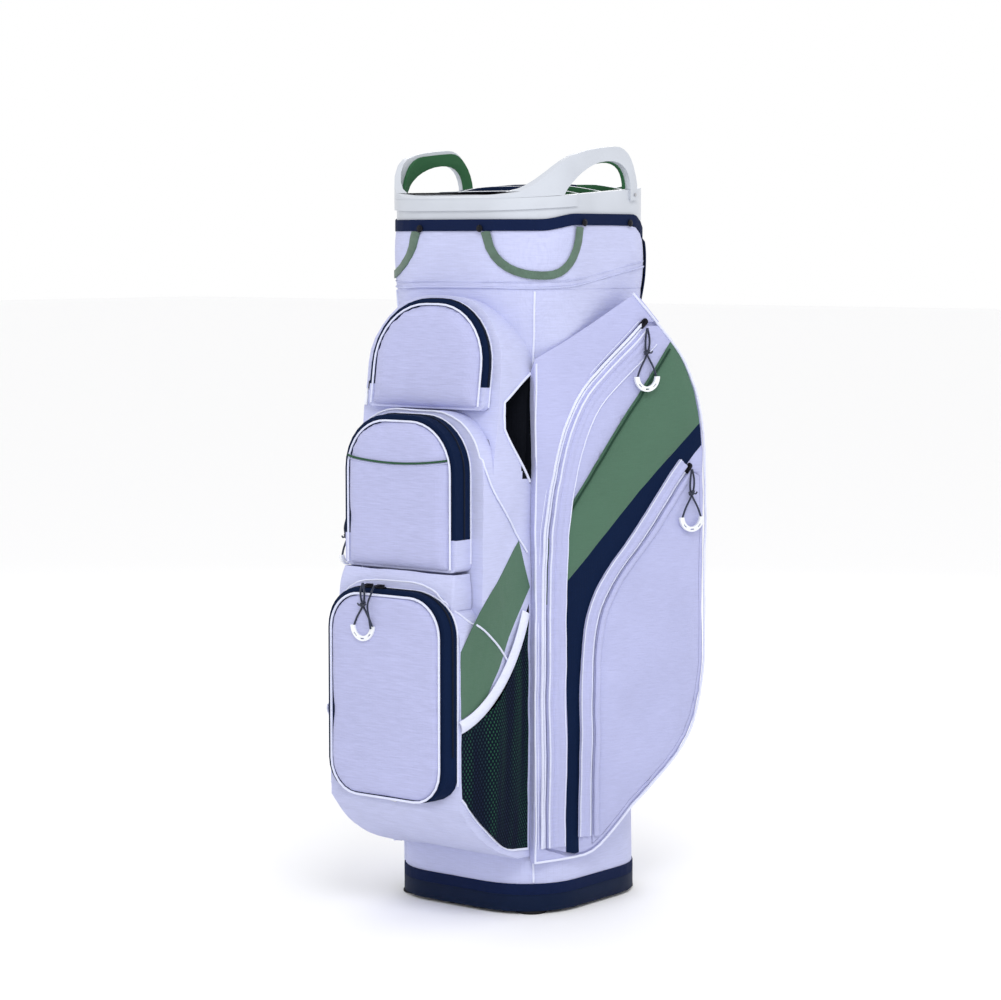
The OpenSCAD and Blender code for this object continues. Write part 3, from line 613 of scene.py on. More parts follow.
def webbing(name, colour, pitch):
    """Flat webbing: ribs along its length and a coarse edge."""
    material, tree, shader = new_material(name, colour, 0.7)
    vector = object_coordinates(tree)
    ribs = maths(tree, "ADD", wave_texture(tree, vector, "X", pitch), wave_texture(tree, vector, "Z", pitch))
    shade_between(tree, shader, noise_texture(tree, vector, 90, 3), 0.3, 0.7,
                  tint(colour, 0.85), tint(colour, 1.12))
    bump(tree, shader, [(ribs, 0.0003)])
    shader.inputs["Sheen Weight"].default_value = 0.2
    return material


green_webbing = webbing("green_webbing", (0.085, 0.150, 0.110), 0.0016)
for side in ("left", "right"):
    loop = copy_of("webbing_loop_" + side, "web_loop_" + side)
    loop_top = max(v.co.z for v in loop.data.vertices)
    move_points(loop, lambda p: Vector((0, 0, 0.0012 + 0.8 * band_rise(p)))
                * smoothstep(loop_top - 0.012, loop_top, p.z))
    round_edges(loop, 0.0004, 2)
    smooth(loop)
    finish(loop, green_webbing, "green_webbing", "web_loop_" + side[0], "web_loop_" + side)

# ---- front block ----
# The sewn body behind the three front pockets, in white ripstop with rounded edges. Each
# tier ends in a piped arch, and green panels run down to the mesh pockets.

ball_low, ball_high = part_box("ball_block")
block_half = ball_high.x
ball_face_low, ball_face_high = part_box("ball_face")
mid_low, mid_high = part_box("mid_block")
mid_face_low, mid_face_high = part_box("mid_face")


def block_soft(point):
    """The block's sides swell a little between their seams."""
    swell = 0.0
    if abs(point.x) > block_half - 0.012:
        swell = 0.0022 * sin(pi * smoothstep(ball_low.y, -tube_half, point.y))
    return Vector((swell * (1 if point.x > 0 else -1), 0, 0)) + drape(point)


def arch_depth(x, z, half, high, radius):
    """How far a point is inside a pocket's arched outline."""
    if z > high - radius:
        return radius - sqrt(max(abs(x) - half + radius, 0) ** 2 + (z - high + radius) ** 2)
    return half - abs(x)


def belly(y):
    """The height of the curved underside of the ball tier."""
    t = min(max((-0.105 - y) / 0.139, 0), 1)
    return ball_low.z + 0.072 * t**2.2


tiers = (
    ("ball_block", ball_low.y, ball_high.z, 0.074),
    ("mid_block", mid_low.y, mid_high.z, 0.074),
    ("top_block", 0.0145, 0.138, 0.084),
)
top_place = Matrix.Translation((0, -0.189, 0.624)) @ Matrix.Rotation(-radians(8), 4, "X")
for name, front, high, corner in tiers:
    block = copy_of("pocket_" + name, name)
    round_edges(block, 0.0030, 3, 50)
    cut_grid(block, 0.014)
    finish(block, white_fabric, "white_fabric", "bag", name)
    block.data.materials.append(painted_shade_lining)
    # Faces inside each pocket's recess and round the strap tunnel take the near-black cloth: painted shade.
    for face in block.data.polygons:
        c = top_place.inverted() @ face.center if name == "top_block" else face.center
        inside = arch_depth(c.x, c.z, block_half, high, corner) > 0.0035
        inside = inside and c.y > front + 0.0035
        if name == "ball_block":
            inside = inside and c.z > belly(c.y) + 0.010
        behind = face.center.y > -0.128 and 0.537 < face.center.z < 0.660
        face.material_index = 1 if inside or behind else 0
    move_points(block, block_soft)
    smooth(block, 50)


def arc(cx, cz, radius, start, stop, steps=10):
    turns = [radians(start + (stop - start) * i / steps) for i in range(steps + 1)]
    return [(cx + radius * cos(a), cz + radius * sin(a)) for a in turns]


def arch(half, low, high, top_radius, foot_radius):
    """A pocket's outline from the front, from its right side over the top and round."""
    return (
        arc(half - top_radius, high - top_radius, top_radius, 0, 90)
        + arc(top_radius - half, high - top_radius, top_radius, 90, 180)
        + arc(foot_radius - half, low + foot_radius, foot_radius, 180, 270, 6)
        + arc(half - foot_radius, low + foot_radius, foot_radius, 270, 360, 6)
    )


def cubic(a, b, c, d, steps=12):
    points = []
    for i in range(steps + 1):
        t = i / steps
        s = 1 - t
        weights = (s**3, 3 * s * s * t, 3 * s * t * t, t**3)
        points.append(tuple(sum(w * p[k] for w, p in zip(weights, (a, b, c, d))) for k in range(2)))
    return points


def even(points, pitch, closed=False):
    """The same path with a point about every pitch."""
    if closed:
        points = points + points[:1]
    out = []
    for a, b in zip(points, points[1:]):
        a, b = Vector(a), Vector(b)
        count = max(1, round((b - a).length / pitch))
        out += [a + (b - a) * i / count for i in range(count)]
    return out if closed else out + [Vector(points[-1])]


def cord_run(points, steps=10):
    """A smooth path through a few points."""
    out = []
    dots = [points[0]] + list(points) + [points[-1]]
    for a, b, c, d in zip(dots, dots[1:], dots[2:], dots[3:]):
        for i in range(steps):
            t = i / steps
            out.append(0.5 * (2 * b + (c - a) * t + (2 * a - 5 * b + 4 * c - d) * t * t
                              + (3 * b - a - 3 * c + d) * t**3))
    return out + [points[-1]]


block_names = ("pocket_ball_block", "pocket_mid_block", "pocket_top_block")


def on_blocks(point, lift):
    """The nearest point of the sewn blocks, a little above the fabric."""
    if abs(point.x) > block_half + 0.0003:
        return Vector((point.x, point.y, point.z)) + block_soft(point)
    best = None
    for name in block_names:
        hit, place_hit, normal, _ = bpy.data.objects[name].closest_point_on_mesh(point)
        if hit and (best is None or (place_hit - point).length < best[0]):
            best = ((place_hit - point).length, place_hit + normal * lift)
    return best[1]


def block_seam(name, half_run, radius, lift):
    """A seam that runs the same way down both sides of the blocks, from its middle."""
    smooth_run = cord_run([Vector(p) for p in half_run], 8)
    left_run = [Vector((-p.x, p.y, p.z)) for p in reversed(smooth_run)]
    run = left_run + smooth_run[1:] if abs(smooth_run[0].x) < 0.0001 else smooth_run
    return tube_along(name, [on_blocks(p, lift) for p in run], radius)


tier_seams = [
    block_seam("ball_arch", ((0, -0.243, 0.419), (0.029, -0.243, 0.419), (0.060, -0.243, 0.411),
                             (0.084, -0.241, 0.393), (0.0960, -0.226, 0.380), (0.1042, -0.2125, 0.3700),
                             (0.1047, -0.195, 0.357), (0.1047, -0.180, 0.344),
                             (0.1047, -0.162, 0.325), (0.1047, -0.140, 0.301)),
               0.0013, 0.0004),
    block_seam("mid_arch", ((0, -0.2035, 0.623), (0.029, -0.2035, 0.623), (0.060, -0.2035, 0.6165),
                            (0.0845, -0.2035, 0.5975), (0.0965, -0.2025, 0.5785), (0.1040, -0.1985, 0.551),
                            (0.1045, -0.186, 0.528), (0.1045, -0.158, 0.497), (0.1045, -0.130, 0.463),
                            (0.1045, -0.118, 0.449)), 0.0012, 0.0003),
]
arch_piping = joined("tier_piping", tier_seams)
finish(arch_piping, piping_fabric, "white_binding", "bag")

green_fabric = fabric("green_weave", (0.060, 0.138, 0.088), 0.0013, 0.35)
stripes = copy_of("green_side_panels", "front_stripes")
cut_grid(stripes, 0.014)
move_points(stripes, block_soft)
smooth(stripes, 50)
finish(stripes, green_fabric, "green_fabric", "bag", "front_stripes")

# White fabric closes the step between the ball tier's top seam and the middle pocket.
apron_path = [(-0.0855, -0.2045), (-0.0855, -0.2315)] + arc(-0.0815, -0.2330, 0.0040, 180, 270, 3)
apron_path += [(0.0815, -0.2370)] + arc(0.0815, -0.2330, 0.0040, 270, 360, 3) + [(0.0855, -0.2045)]
apron_rows = []
for x, y in (tuple(p) for p in even(apron_path, 0.006)):
    foot_x = x * 1.03
    foot_z = 0.344 + sqrt(0.074**2 - max(abs(foot_x) - 0.029, 0) ** 2) + 0.0004
    foot_y = y if y > -0.232 else -0.2425
    row = []
    for step in range(9):
        t = step / 8
        swell_out = 0.0016 * sin(pi * t)
        side = 1 if x > 0 else -1
        row.append(Vector((x + (foot_x - x) * t + side * swell_out * (abs(x) > 0.0825),
                           y + (foot_y - y) * t - swell_out * (y < -0.232), 0.4310 + (foot_z - 0.4310) * t)))
    apron_rows.append([p + drape(p) for p in row])
finish(strip("middle_pocket_apron", apron_rows, 0.0012), white_fabric, "white_fabric", "bag")

# ---- strap tunnel ----
# An opening behind the pockets for the cart's strap, bound with white tape on both sides.

tunnel_edge = ((-0.108, 0.664), (-0.163, 0.633), (-0.1645, 0.616), (-0.163, 0.600), (-0.112, 0.535))
tunnel_bindings = []
for x in (-block_half - 0.0008, block_half + 0.0008):
    run = [Vector((x, p.x, p.y)) for p in even(list(tunnel_edge), 0.006)]
    tunnel_bindings.append(tube_along("tunnel_edge", [on_blocks(p, 0.0006) for p in run], 0.0016))
finish(joined("tunnel_binding", tunnel_bindings), piping_fabric, "white_binding", "bag")

# ---- mesh pockets ----
# Knitted air mesh on both sides of the block, held open by a thick white binding, with a dark green liner
# that shows through, painted darker in upright bands as the shade of its folds. It stands out in soft folds.


def knit(name):
    """Knitted mesh: round holes in rows, set half a pitch apart, over a green liner painted darker in bands
    as fold shade.
    """
    material, tree, shader = new_material(name, (0.003, 0.009, 0.02), 0.75)
    vector = object_coordinates(tree, (1, 1, 0.62), (radians(45), 0, 0))
    hole_pitch = 0.0034
    rows = maths(tree, "MULTIPLY", wave_texture(tree, vector, "Y", hole_pitch),
                 wave_texture(tree, vector, "Z", hole_pitch))
    # The green in the holes darkens to navy in long upright noise bands: painted shade of the mesh's folds.
    folds = noise_texture(tree, object_coordinates(tree, (1, 34, 3)), 1, 2)
    painted_shade_lining = tree.nodes.new("ShaderNodeValToRGB")
    painted_shade_lining.color_ramp.elements[0].position = 0.42
    painted_shade_lining.color_ramp.elements[0].color = (0.010, 0.016, 0.040, 1)
    painted_shade_lining.color_ramp.elements[1].position = 0.60
    painted_shade_lining.color_ramp.elements[1].color = (0.018, 0.075, 0.045, 1)
    mix = tree.nodes.new("ShaderNodeMix")
    mix.data_type = "RGBA"
    mix.inputs[6].default_value = (0.002, 0.005, 0.014, 1)
    hole = maths(tree, "GREATER_THAN", rows, 0.42)
    wire(tree, [(folds, painted_shade_lining.inputs[0]), (hole, mix.inputs[0]), (painted_shade_lining.outputs[0], mix.inputs[7])])
    wire(tree, [(mix.outputs[2], shader.inputs["Base Color"])])
    bump(tree, shader, [(maths(tree, "SUBTRACT", 1, rows), 0.0005)])
    shader.inputs["Specular IOR Level"].default_value = 0.06
    return material


mesh_fabric = knit("knitted_mesh")
mesh_low, mesh_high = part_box("mesh_right")


def billow(point):
    """Stands the mesh out from the block in two long folds."""
    across = (point.y - mesh_low.y) / (mesh_high.y - mesh_low.y)
    top = mesh_high.z - (mesh_high.z - mesh_low.z) * 0.42 * (1 - across)
    rise = min(max((point.z - mesh_low.z) / (top - mesh_low.z), 0), 1)
    out = 0.010 * sin(pi * across) * sin(pi * rise) ** 0.6
    out += 0.0022 * sin(across * 19) * sin(pi * across) * sin(pi * rise)
    return Vector((out if point.x > 0 else -out, 0, 0)) + block_soft(point)


for side in ("left", "right"):
    mesh = copy_of("mesh_pocket_" + side, "mesh_" + side)
    cut_grid(mesh, 0.008)
    move_points(mesh, billow)
    smooth(mesh, 60)
    finish(mesh, mesh_fabric, "mesh_fabric", "bag", "mesh_" + side)

# The tape along the slanted mouth is folded over the mesh, and stands out with it
mouth = cubic((-0.1135, 0.373), (-0.131, 0.336), (-0.173, 0.262), (-0.2435, 0.244), 26)
mouth_tapes = []
for sign in (-1, 1):
    rows = []
    for i, (y, z) in enumerate(mouth):
        ahead = Vector(mouth[min(i + 1, 26)]) - Vector(mouth[max(i - 1, 0)])
        up = Vector((ahead.y, -ahead.x)).normalized() * (-1 if ahead.y > 0 else 1)
        up = up if up.y > 0 else -up
        stand = 0.0040 * sin(pi * i / 26)
        row = []
        for step in range(9):
            s = step / 8
            lift = 0.0016 + stand + 0.0020 * sin(pi * s)
            row.append(Vector((sign * (block_half + lift), y + up.x * 0.0150 * s, z + up.y * 0.0150 * s)))
        rows.append(row)
    mouth_tapes.append(strip("mouth_tape", rows, 0.0016))
lower_edge = cubic((-0.2425, 0.163), (-0.209, 0.129), (-0.175, 0.091), (-0.145, 0.087), 20)
lower_edge = lower_edge + [(-0.114, 0.085)]
for sign in (-1, 1):
    run = [Vector((sign * (block_half + 0.0005), y, z)) for y, z in lower_edge]
    mouth_tapes.append(tube_along("lower_edge", [on_blocks(p, 0.0006) for p in run], 0.0015))
finish(joined("mesh_binding_tape", mouth_tapes), piping_fabric, "white_binding", "bag", "mesh_bindings")

# ---- padded pocket faces ----
# The outer face of each front pocket: ripstop over thin foam, so it is slightly crowned.


def plate(name, outline, front, back):
    """A closed slab from an outline drawn in X and Z."""
    bpy.ops.object.select_all(action="DESELECT")
    bpy.ops.mesh.primitive_circle_add(vertices=len(outline), fill_type="NGON")
    piece = bpy.context.view_layer.objects.active
    piece.name = name
    piece.data.name = name
    for vertex, point in zip(piece.data.vertices, outline):
        vertex.co = (point[0], front, point[1])
    bpy.ops.object.mode_set(mode="EDIT")
    bpy.ops.mesh.select_all(action="SELECT")
    bpy.ops.mesh.extrude_region_move(TRANSFORM_OT_translate={"value": (0, back - front, 0)})
    bpy.ops.mesh.select_all(action="SELECT")
    bpy.ops.mesh.normals_make_consistent(inside=False)
    bpy.ops.object.mode_set(mode="OBJECT")
    return piece


def swell(piece, voxel, pressure, cap, across=None):
    """Blows a pad up as cloth, with each point held within a cap of where it was cut.

    A pad that is sewn down all round only moves across its face.
    """
    remesh = piece.modifiers.new("remesh", "REMESH")
    remesh.mode = "VOXEL"
    remesh.voxel_size = voxel
    apply_all(piece)
    cut = [v.co.copy() for v in piece.data.vertices]
    cloth = piece.modifiers.new("cloth", "CLOTH")
    cloth.settings.quality = 6
    cloth.settings.tension_stiffness = 12
    cloth.settings.compression_stiffness = 12
    cloth.settings.use_pressure = True
    cloth.settings.uniform_pressure_force = pressure
    cloth.settings.effector_weights.gravity = 0
    cloth.point_cache.frame_start = 1
    cloth.point_cache.frame_end = 20
    for step in range(1, 21):
        bpy.context.scene.frame_set(step)
    blown = piece.evaluated_get(bpy.context.evaluated_depsgraph_get())
    target = [v.co.copy() for v in blown.data.vertices]
    piece.modifiers.remove(cloth)
    bpy.context.scene.frame_set(1)
    for vertex, start, stop in zip(piece.data.vertices, cut, target):
        move = stop - start
        if across is not None:
            move = across * move.dot(across)
        if move.length > cap:
            move *= cap / move.length
        vertex.co = start + move
    rounder = piece.modifiers.new("rounder", "SMOOTH")
    rounder.factor = 0.5
    rounder.iterations = 6
    rounder.use_x = rounder.use_y = rounder.use_z = True
    apply_all(piece)
    only(piece)
    bpy.ops.object.shade_smooth()


def face_ring(outline, y):
    return [Vector((p[0], y, p[1])) for p in even(outline, 0.007, True)]


ball_corner = 0.045
mid_corner = 0.060
face_depth = 0.012
ball_outline = arch(ball_face_high.x, ball_face_low.z, ball_face_high.z, ball_corner, 0.040)
ball_pad_outline = arch(ball_face_high.x - 0.001, ball_face_low.z + 0.001,
                        ball_face_high.z - 0.001, ball_corner, 0.039)
ball_pad = plate("ball_pocket_face", ball_pad_outline, ball_face_low.y, ball_face_low.y + face_depth)
swell(ball_pad, 0.004, 3.0, 0.0022, Vector((0, 1, 0)))
# A darker copy of the white ripstop for the pocket faces: painted shade, as the faces turn down and away from
# the light.
shaded_face_fabric = fabric("white_ripstop_painted_shade_face", (0.45, 0.468, 0.72), 0.0011, 0.75, 0.0046)
finish(ball_pad, shaded_face_fabric, "white_fabric", "ball_door", "ball_face")

mid_pad_outline = arch(mid_face_high.x - 0.001, mid_face_low.z + 0.001,
                       mid_face_high.z - 0.001, mid_corner, 0.007)
mid_pad = plate("middle_pocket_face", mid_pad_outline, mid_face_low.y, mid_face_low.y + face_depth)
swell(mid_pad, 0.004, 3.0, 0.0055, Vector((0, 1, 0)))
finish(mid_pad, shaded_face_fabric, "white_fabric", "mid_door", "mid_face")

top_face_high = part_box("top_face")[1]
top_height = 0.126
top_corner = 0.074


def place(piece, matrix):
    piece.data.transform(matrix)
    piece.data.update()
    return piece


top_pad_outline = arch(top_face_high.x - 0.001, 0.001, top_height - 0.001, top_corner, 0.007)
top_pad = plate("top_pocket_face", top_pad_outline, 0, 0.010)
swell(top_pad, 0.004, 3.0, 0.0050, Vector((0, 1, 0)))
place(top_pad, top_place)
finish(top_pad, shaded_face_fabric, "white_fabric", "top_door", "top_face")

# ---- piping round the pocket faces ----
# Bias-cut white tape over cord, sewn between each face and its gusset.

piping = tube_along("ball_face_piping", face_ring(ball_outline, ball_face_low.y + 0.001), 0.0015, True)
finish(piping, piping_fabric, "white_binding", "ball_door")


def arch_run(half, low, high, radius, y):
    """An arch that is open at the foot, from its right leg over to its left one."""
    outline = [(half, low)] + arc(half - radius, high - radius, radius, 0, 90)
    outline += arc(radius - half, high - radius, radius, 90, 180) + [(-half, low)]
    return [Vector((p.x, y, p.y)) for p in even(outline, 0.006)]


run = arch_run(mid_face_high.x, mid_face_low.z + 0.004, mid_face_high.z, mid_corner, mid_face_low.y + 0.001)
piping = tube_along("middle_face_piping", run, 0.0013)
finish(piping, piping_fabric, "white_binding", "mid_door")
run = arch_run(top_face_high.x, 0.004, top_height, top_corner, 0.001)
piping = place(tube_along("top_face_piping", run, 0.0013), top_place)
finish(piping, piping_fabric, "white_binding", "top_door")

# A green edged flap across the middle pocket's face, sewn into its arch
flap_piping = plastic("green_piping", (0.030, 0.085, 0.045), 0.7, 900, 0.0002)
flap_line = []
for step in range(25):
    x = -0.0775 + 0.155 * step / 24
    point = Vector((x, mid_face_low.y - 0.01, 0.560 + 0.006 * (x / 0.0775) ** 2))
    hit, spot, normal, _ = mid_pad.closest_point_on_mesh(point)
    flap_line.append(Vector((x, spot.y - 0.0008, point.z)))
finish(tube_along("flap_edge", flap_line, 0.0013), flap_piping, "green_fabric", "mid_door")
shade_line = [p + Vector((0, 0.0006, -0.0028)) for p in flap_line]
finish(tube_along("flap_stitches", shade_line, 0.0007), seam_fabric, "white_binding", "mid_door")

# ---- gussets with their zips ----
# The strip that joins each face to the block, navy where the zip runs over the top and
# white below it, with the zip's coil along its middle.

navy_fabric = fabric("navy_weave", (0.002, 0.010, 0.042), 0.0011, 0.3)
zip_coil = plastic("zip_coil", (0.004, 0.007, 0.018), 0.45, 600, 0.0003)

def spread(point):
    """The ball pocket's gusset widens towards the block on its two sides."""
    back = smoothstep(ball_face_low.y + 0.003, ball_low.y, point.y)
    side = smoothstep(0.050, 0.088, abs(point.x))
    return Vector(((0.0085 if point.x > 0 else -0.0085) * back * side, 0, 0))


for pocket, white_below in (("ball", 0.0), ("mid", 0.468), ("top", 0.648)):
    gusset = copy_of(pocket + "_pocket_gusset", pocket + "_gusset")
    cut_grid(gusset, 0.010)
    if pocket == "ball":
        move_points(gusset, spread)
    finish(gusset, navy_fabric, "navy_fabric", pocket + "_door", pocket + "_gusset")
    gusset.data.materials.append(white_fabric)
    for face in gusset.data.polygons:
        face.material_index = 1 if face.center.z < white_below else 0
    smooth(gusset, 50)

# The gussets' outer edges are bound in white against the block, with a coil between
def gusset_lines(pocket, run, inner, matrix, foot):
    shift = spread if pocket == "ball" else (lambda p: Vector((0, 0, 0)))
    edge = [p + shift(p) for p in run if p.z > foot - 0.03]
    inner = [p + shift(p) for p in inner]
    bound = place(tube_along(pocket + "_gusset_binding", edge, 0.0011), matrix)
    finish(bound, piping_fabric, "white_binding", pocket + "_door")
    coil = place(tube_along(pocket + "_zip_coil", [p for p in inner if p.z > foot], 0.0012), matrix)
    finish(coil, zip_coil, "slider_metal", pocket + "_door")


still = Matrix.Identity(4)
gusset_w = 0.0072
back = -0.0016
gusset_lines("ball", arch_run(ball_face_high.x + gusset_w, 0.180, ball_face_high.z + gusset_w,
                              ball_corner + gusset_w, ball_low.y + back),
             arch_run(ball_face_high.x + gusset_w, 0.180, ball_face_high.z + gusset_w,
                      ball_corner + gusset_w, ball_low.y - 0.007), still, 0.21)
gusset_lines("mid", arch_run(mid_face_high.x + gusset_w, 0.435, mid_face_high.z + gusset_w,
                             mid_corner + gusset_w, mid_low.y + back),
             arch_run(mid_face_high.x + gusset_w, 0.435, mid_face_high.z + gusset_w,
                      mid_corner + gusset_w, mid_low.y - 0.014), still, 0.468)
gusset_lines("top", arch_run(top_face_high.x + gusset_w, 0.004, top_height + gusset_w,
                             top_corner + gusset_w, 0.0130),
             arch_run(top_face_high.x + gusset_w, 0.004, top_height + gusset_w,
                      top_corner + gusset_w, 0.0085), top_place, 0.024)

# ---- zip sliders ----
# Die-cast and black enamelled, with a bridge on top for the pull's cord.

slider_metal = plastic("black_enamel", (0.006, 0.006, 0.010), 0.28, 500, 0.00008)
slider_bodies = {
    "ball_slider_left": "ball_slider_l", "ball_slider_right": "ball_slider_r",
    "mid_slider": "mid_slider", "top_slider": "top_slider",
    "upper_slider_left": "upper_slider_l", "upper_slider_right": "upper_slider_r",
    "lower_slider_left": "lower_slider_l", "lower_slider_right": "lower_slider_r",
}
for node, body in slider_bodies.items():
    slider = copy_of("zip_" + node, node)
    round_edges(slider, 0.0005, 2)
    smooth(slider)
    finish(slider, slider_metal, "slider_metal", body, node)

zip_end = tube_along("ball_zip_end", cord_run([
    Vector((-0.012, ball_low.y - 0.006, ball_face_low.z - 0.0012)),
    Vector((0.000, ball_low.y - 0.009, ball_face_low.z - 0.0022)),
    Vector((0.010, ball_low.y - 0.008, ball_face_low.z - 0.0040)),
], 6), 0.0015)
finish(zip_end, stay_metal, "slider_metal", "ball_door")

# ---- zip pulls ----
# A loop of navy cord knotted half way, into a white U-shaped grip with three slots.

pull_cord = webbing("pull_cord", (0.006, 0.014, 0.045), 0.0012)
pull_plastic = plastic("pull_grip_plastic", (0.82, 0.84, 0.88), 0.4, 900, 0.00006)


def make_pull(name, drop, half):
    """Hangs from the origin down the plane of X and Z, outwards is -Y."""
    knot = drop * 0.48
    cords = []
    for side in (-1, 1):
        dots = [Vector((side * 0.0004, 0.0, 0.0018)), Vector((side * 0.0030, -0.0008, -knot * 0.45)),
                Vector((side * 0.0010, -0.0004 * side, -knot)),
                Vector((-side * half * 0.62, 0, -drop * 0.80)),
                Vector((-side * half, 0, -drop - 0.002))]
        cords.append(tube_along("strand", cord_run(dots), 0.00125))
        tail = [Vector((side * 0.001, -0.002, -knot)), Vector((side * 0.004, -0.003, -knot - 0.001)),
                Vector((side * 0.0065, -0.002, -knot + 0.001))]
        cords.append(tube_along("tail", cord_run(tail, 5), 0.0010))
    for level in (-0.0013, 0.0013):
        turn = [Vector((0.0030 * cos(a), 0.0028 * sin(a), -knot + level + 0.001 * cos(a)))
                for a in (2 * pi * i / 14 for i in range(14))]
        cords.append(tube_along("knot", turn, 0.0011, True))
    cord = joined(name + "_cord", cords)
    outline = arc(0, -drop, half + 0.0036, 180, 360, 20) + arc(0, -drop, half - 0.0026, 360, 180, 16)
    grip = plate(name + "_grip", outline, -0.0018, 0.0018)
    for turn in (225, 270, 315):
        a = radians(turn)
        reach = half * 1.03
        bpy.ops.mesh.primitive_cube_add(size=1, location=(reach * cos(a), 0, -drop + reach * sin(a)))
        slot = bpy.context.view_layer.objects.active
        slot.scale = (0.0058, 0.02, 0.0017)
        slot.rotation_euler = (0, -(a + pi / 2), 0)
        cutter = grip.modifiers.new("slot", "BOOLEAN")
        cutter.object = slot
        apply_all(grip)
        bpy.data.objects.remove(slot)
    round_edges(grip, 0.0006, 2, 40)
    smooth(grip)
    return cord, grip


def hang_pull(name, node, body, matrix, drop, half, mirrored=False):
    for part, material in zip(make_pull(name, drop, half), (pull_cord, pull_plastic)):
        place(part, matrix)
        if mirrored:
            mirror_mesh(part)
        finish(part, material, "pull_rubber", body, node)


def mirror_mesh(piece):
    """Turns a right-hand piece into a left-hand one."""
    piece.data.transform(Matrix.Scale(-1, 4, (1, 0, 0)))
    only(piece)
    bpy.ops.object.mode_set(mode="EDIT")
    bpy.ops.mesh.select_all(action="SELECT")
    bpy.ops.mesh.flip_normals()
    bpy.ops.object.mode_set(mode="OBJECT")


side_flare = radians(18.5)
corner_reach = tube_half - tube_corner * (1 - sqrt(0.5)) + 0.010
side_place = (Matrix.Translation((corner_reach, -corner_reach, 0))
              @ Matrix.Rotation(pi / 2 - side_flare, 4, "Z"))
side_low, side_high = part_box("side_shell_right")
side_top = side_high.z
side_foot = side_low.z
side_length = 0.258
pull_lift = -0.0092
zip_up = (side_length - 0.098, side_top - 0.042)
lower_up = (side_length - 0.028, side_foot + 0.476)

hang_pull("ball_pull", "ball_pull", "ball_pull",
          Matrix.Translation((-0.030, ball_face_low.y - 0.003, ball_face_high.z + 0.012)), 0.050, 0.015)
second = [Vector((-0.012, -0.2665, 0.413)), Vector((-0.013, -0.270, 0.405)), Vector((-0.018, -0.2715, 0.390)),
          Vector((-0.0155, -0.271, 0.372)), Vector((-0.0150, -0.2695, 0.3615))]
second_cord = tube_along("ball_pull_second_cord", cord_run(second), 0.00125)
finish(second_cord, pull_cord, "pull_rubber", "ball_pull")
turned = Matrix.Rotation(radians(-90), 4, "Z")
hang_pull("middle_pull", "mid_pull", "mid_pull",
          Matrix.Translation((mid_face_low.x - 0.007 + pull_lift, mid_face_low.y + 0.0165,
                              mid_face_low.z + 0.052)) @ turned, 0.042, 0.009)
for side in ("right", "left"):
    for zip_name, end in (("upper", zip_up), ("lower", lower_up)):
        node = zip_name + "_pull_" + side
        spot = side_place @ Matrix.Translation((end[0], pull_lift, end[1] - 0.003))
        hang_pull("side_" + node, node, zip_name + "_pull_" + side[0], spot, 0.058, 0.015, side == "left")

barrel = copy_of("top_pull_barrel", "top_pull")
round_edges(barrel, 0.0005, 2)
smooth(barrel)
finish(barrel, pull_plastic, "pull_rubber", "top_pull", "top_pull")

# ---- side pockets ----
# White ripstop shells on both sides, with a slanted yoke up to the cuff and a piped rear
# edge. Their outer panels swing out on the rear edge when the long zips are open.


def side_drape(point):
    return drape(side_place @ point) * 0.8


def on_side(points, y):
    return [Vector((p[0], y, p[1])) for p in points]


def rear_edge():
    f, t, length = side_foot, side_top, side_length
    return (
        cubic((0.060, f), (0.090, f), (0.100, f + 0.014), (0.147, f + 0.056), 6)
        + cubic((0.155, f + 0.062), (length - 0.045, f + 0.108), (length - 0.005, f + 0.132),
                (length - 0.001, f + 0.230))
        + [(length, f + 0.290)]
        + cubic((length, t - 0.266), (length, t - 0.166), (length - 0.006, t - 0.098),
                (length - 0.071, t - 0.041))
        + [(length - 0.113, t)]
    )


def upper_zip():
    t = side_top
    return [zip_up] + cubic((side_length - 0.162, t - 0.098), (0.048, t - 0.138), (0.018, t - 0.206),
                            (0.015, t - 0.366)) + [(0.015, side_foot + 0.018)]


def lower_zip():
    f = side_foot
    return [lower_up] + cubic((side_length - 0.100, f + 0.389), (0.112, f + 0.336), (0.085, f + 0.318),
                              (0.084, f + 0.220)) + [(0.082, f + 0.026)]


def beside(path, distance):
    """A path moved sideways."""
    out = []
    for i, point in enumerate(path):
        along = Vector(path[min(i + 1, len(path) - 1)]) - Vector(path[max(i - 1, 0)])
        across = Vector((-along.y, along.x)).normalized()
        out.append(Vector(point) + across * distance)
    return out


inverse_side = side_place.inverted()
# A darker copy of the white ripstop for the side pockets: painted shade for panels that face away from the
# light.
shaded_side_fabric = fabric("white_ripstop_painted_shade_side", (0.455, 0.475, 0.735), 0.0011, 0.5, 0.0046, side_flare)
# A slightly lighter copy of the green weave, turned with the panel: painted light on the side stripes.
lit_green_side = fabric("green_weave_painted_light_side", (0.064, 0.146, 0.094), 0.0013, 0.35, turn=side_flare)


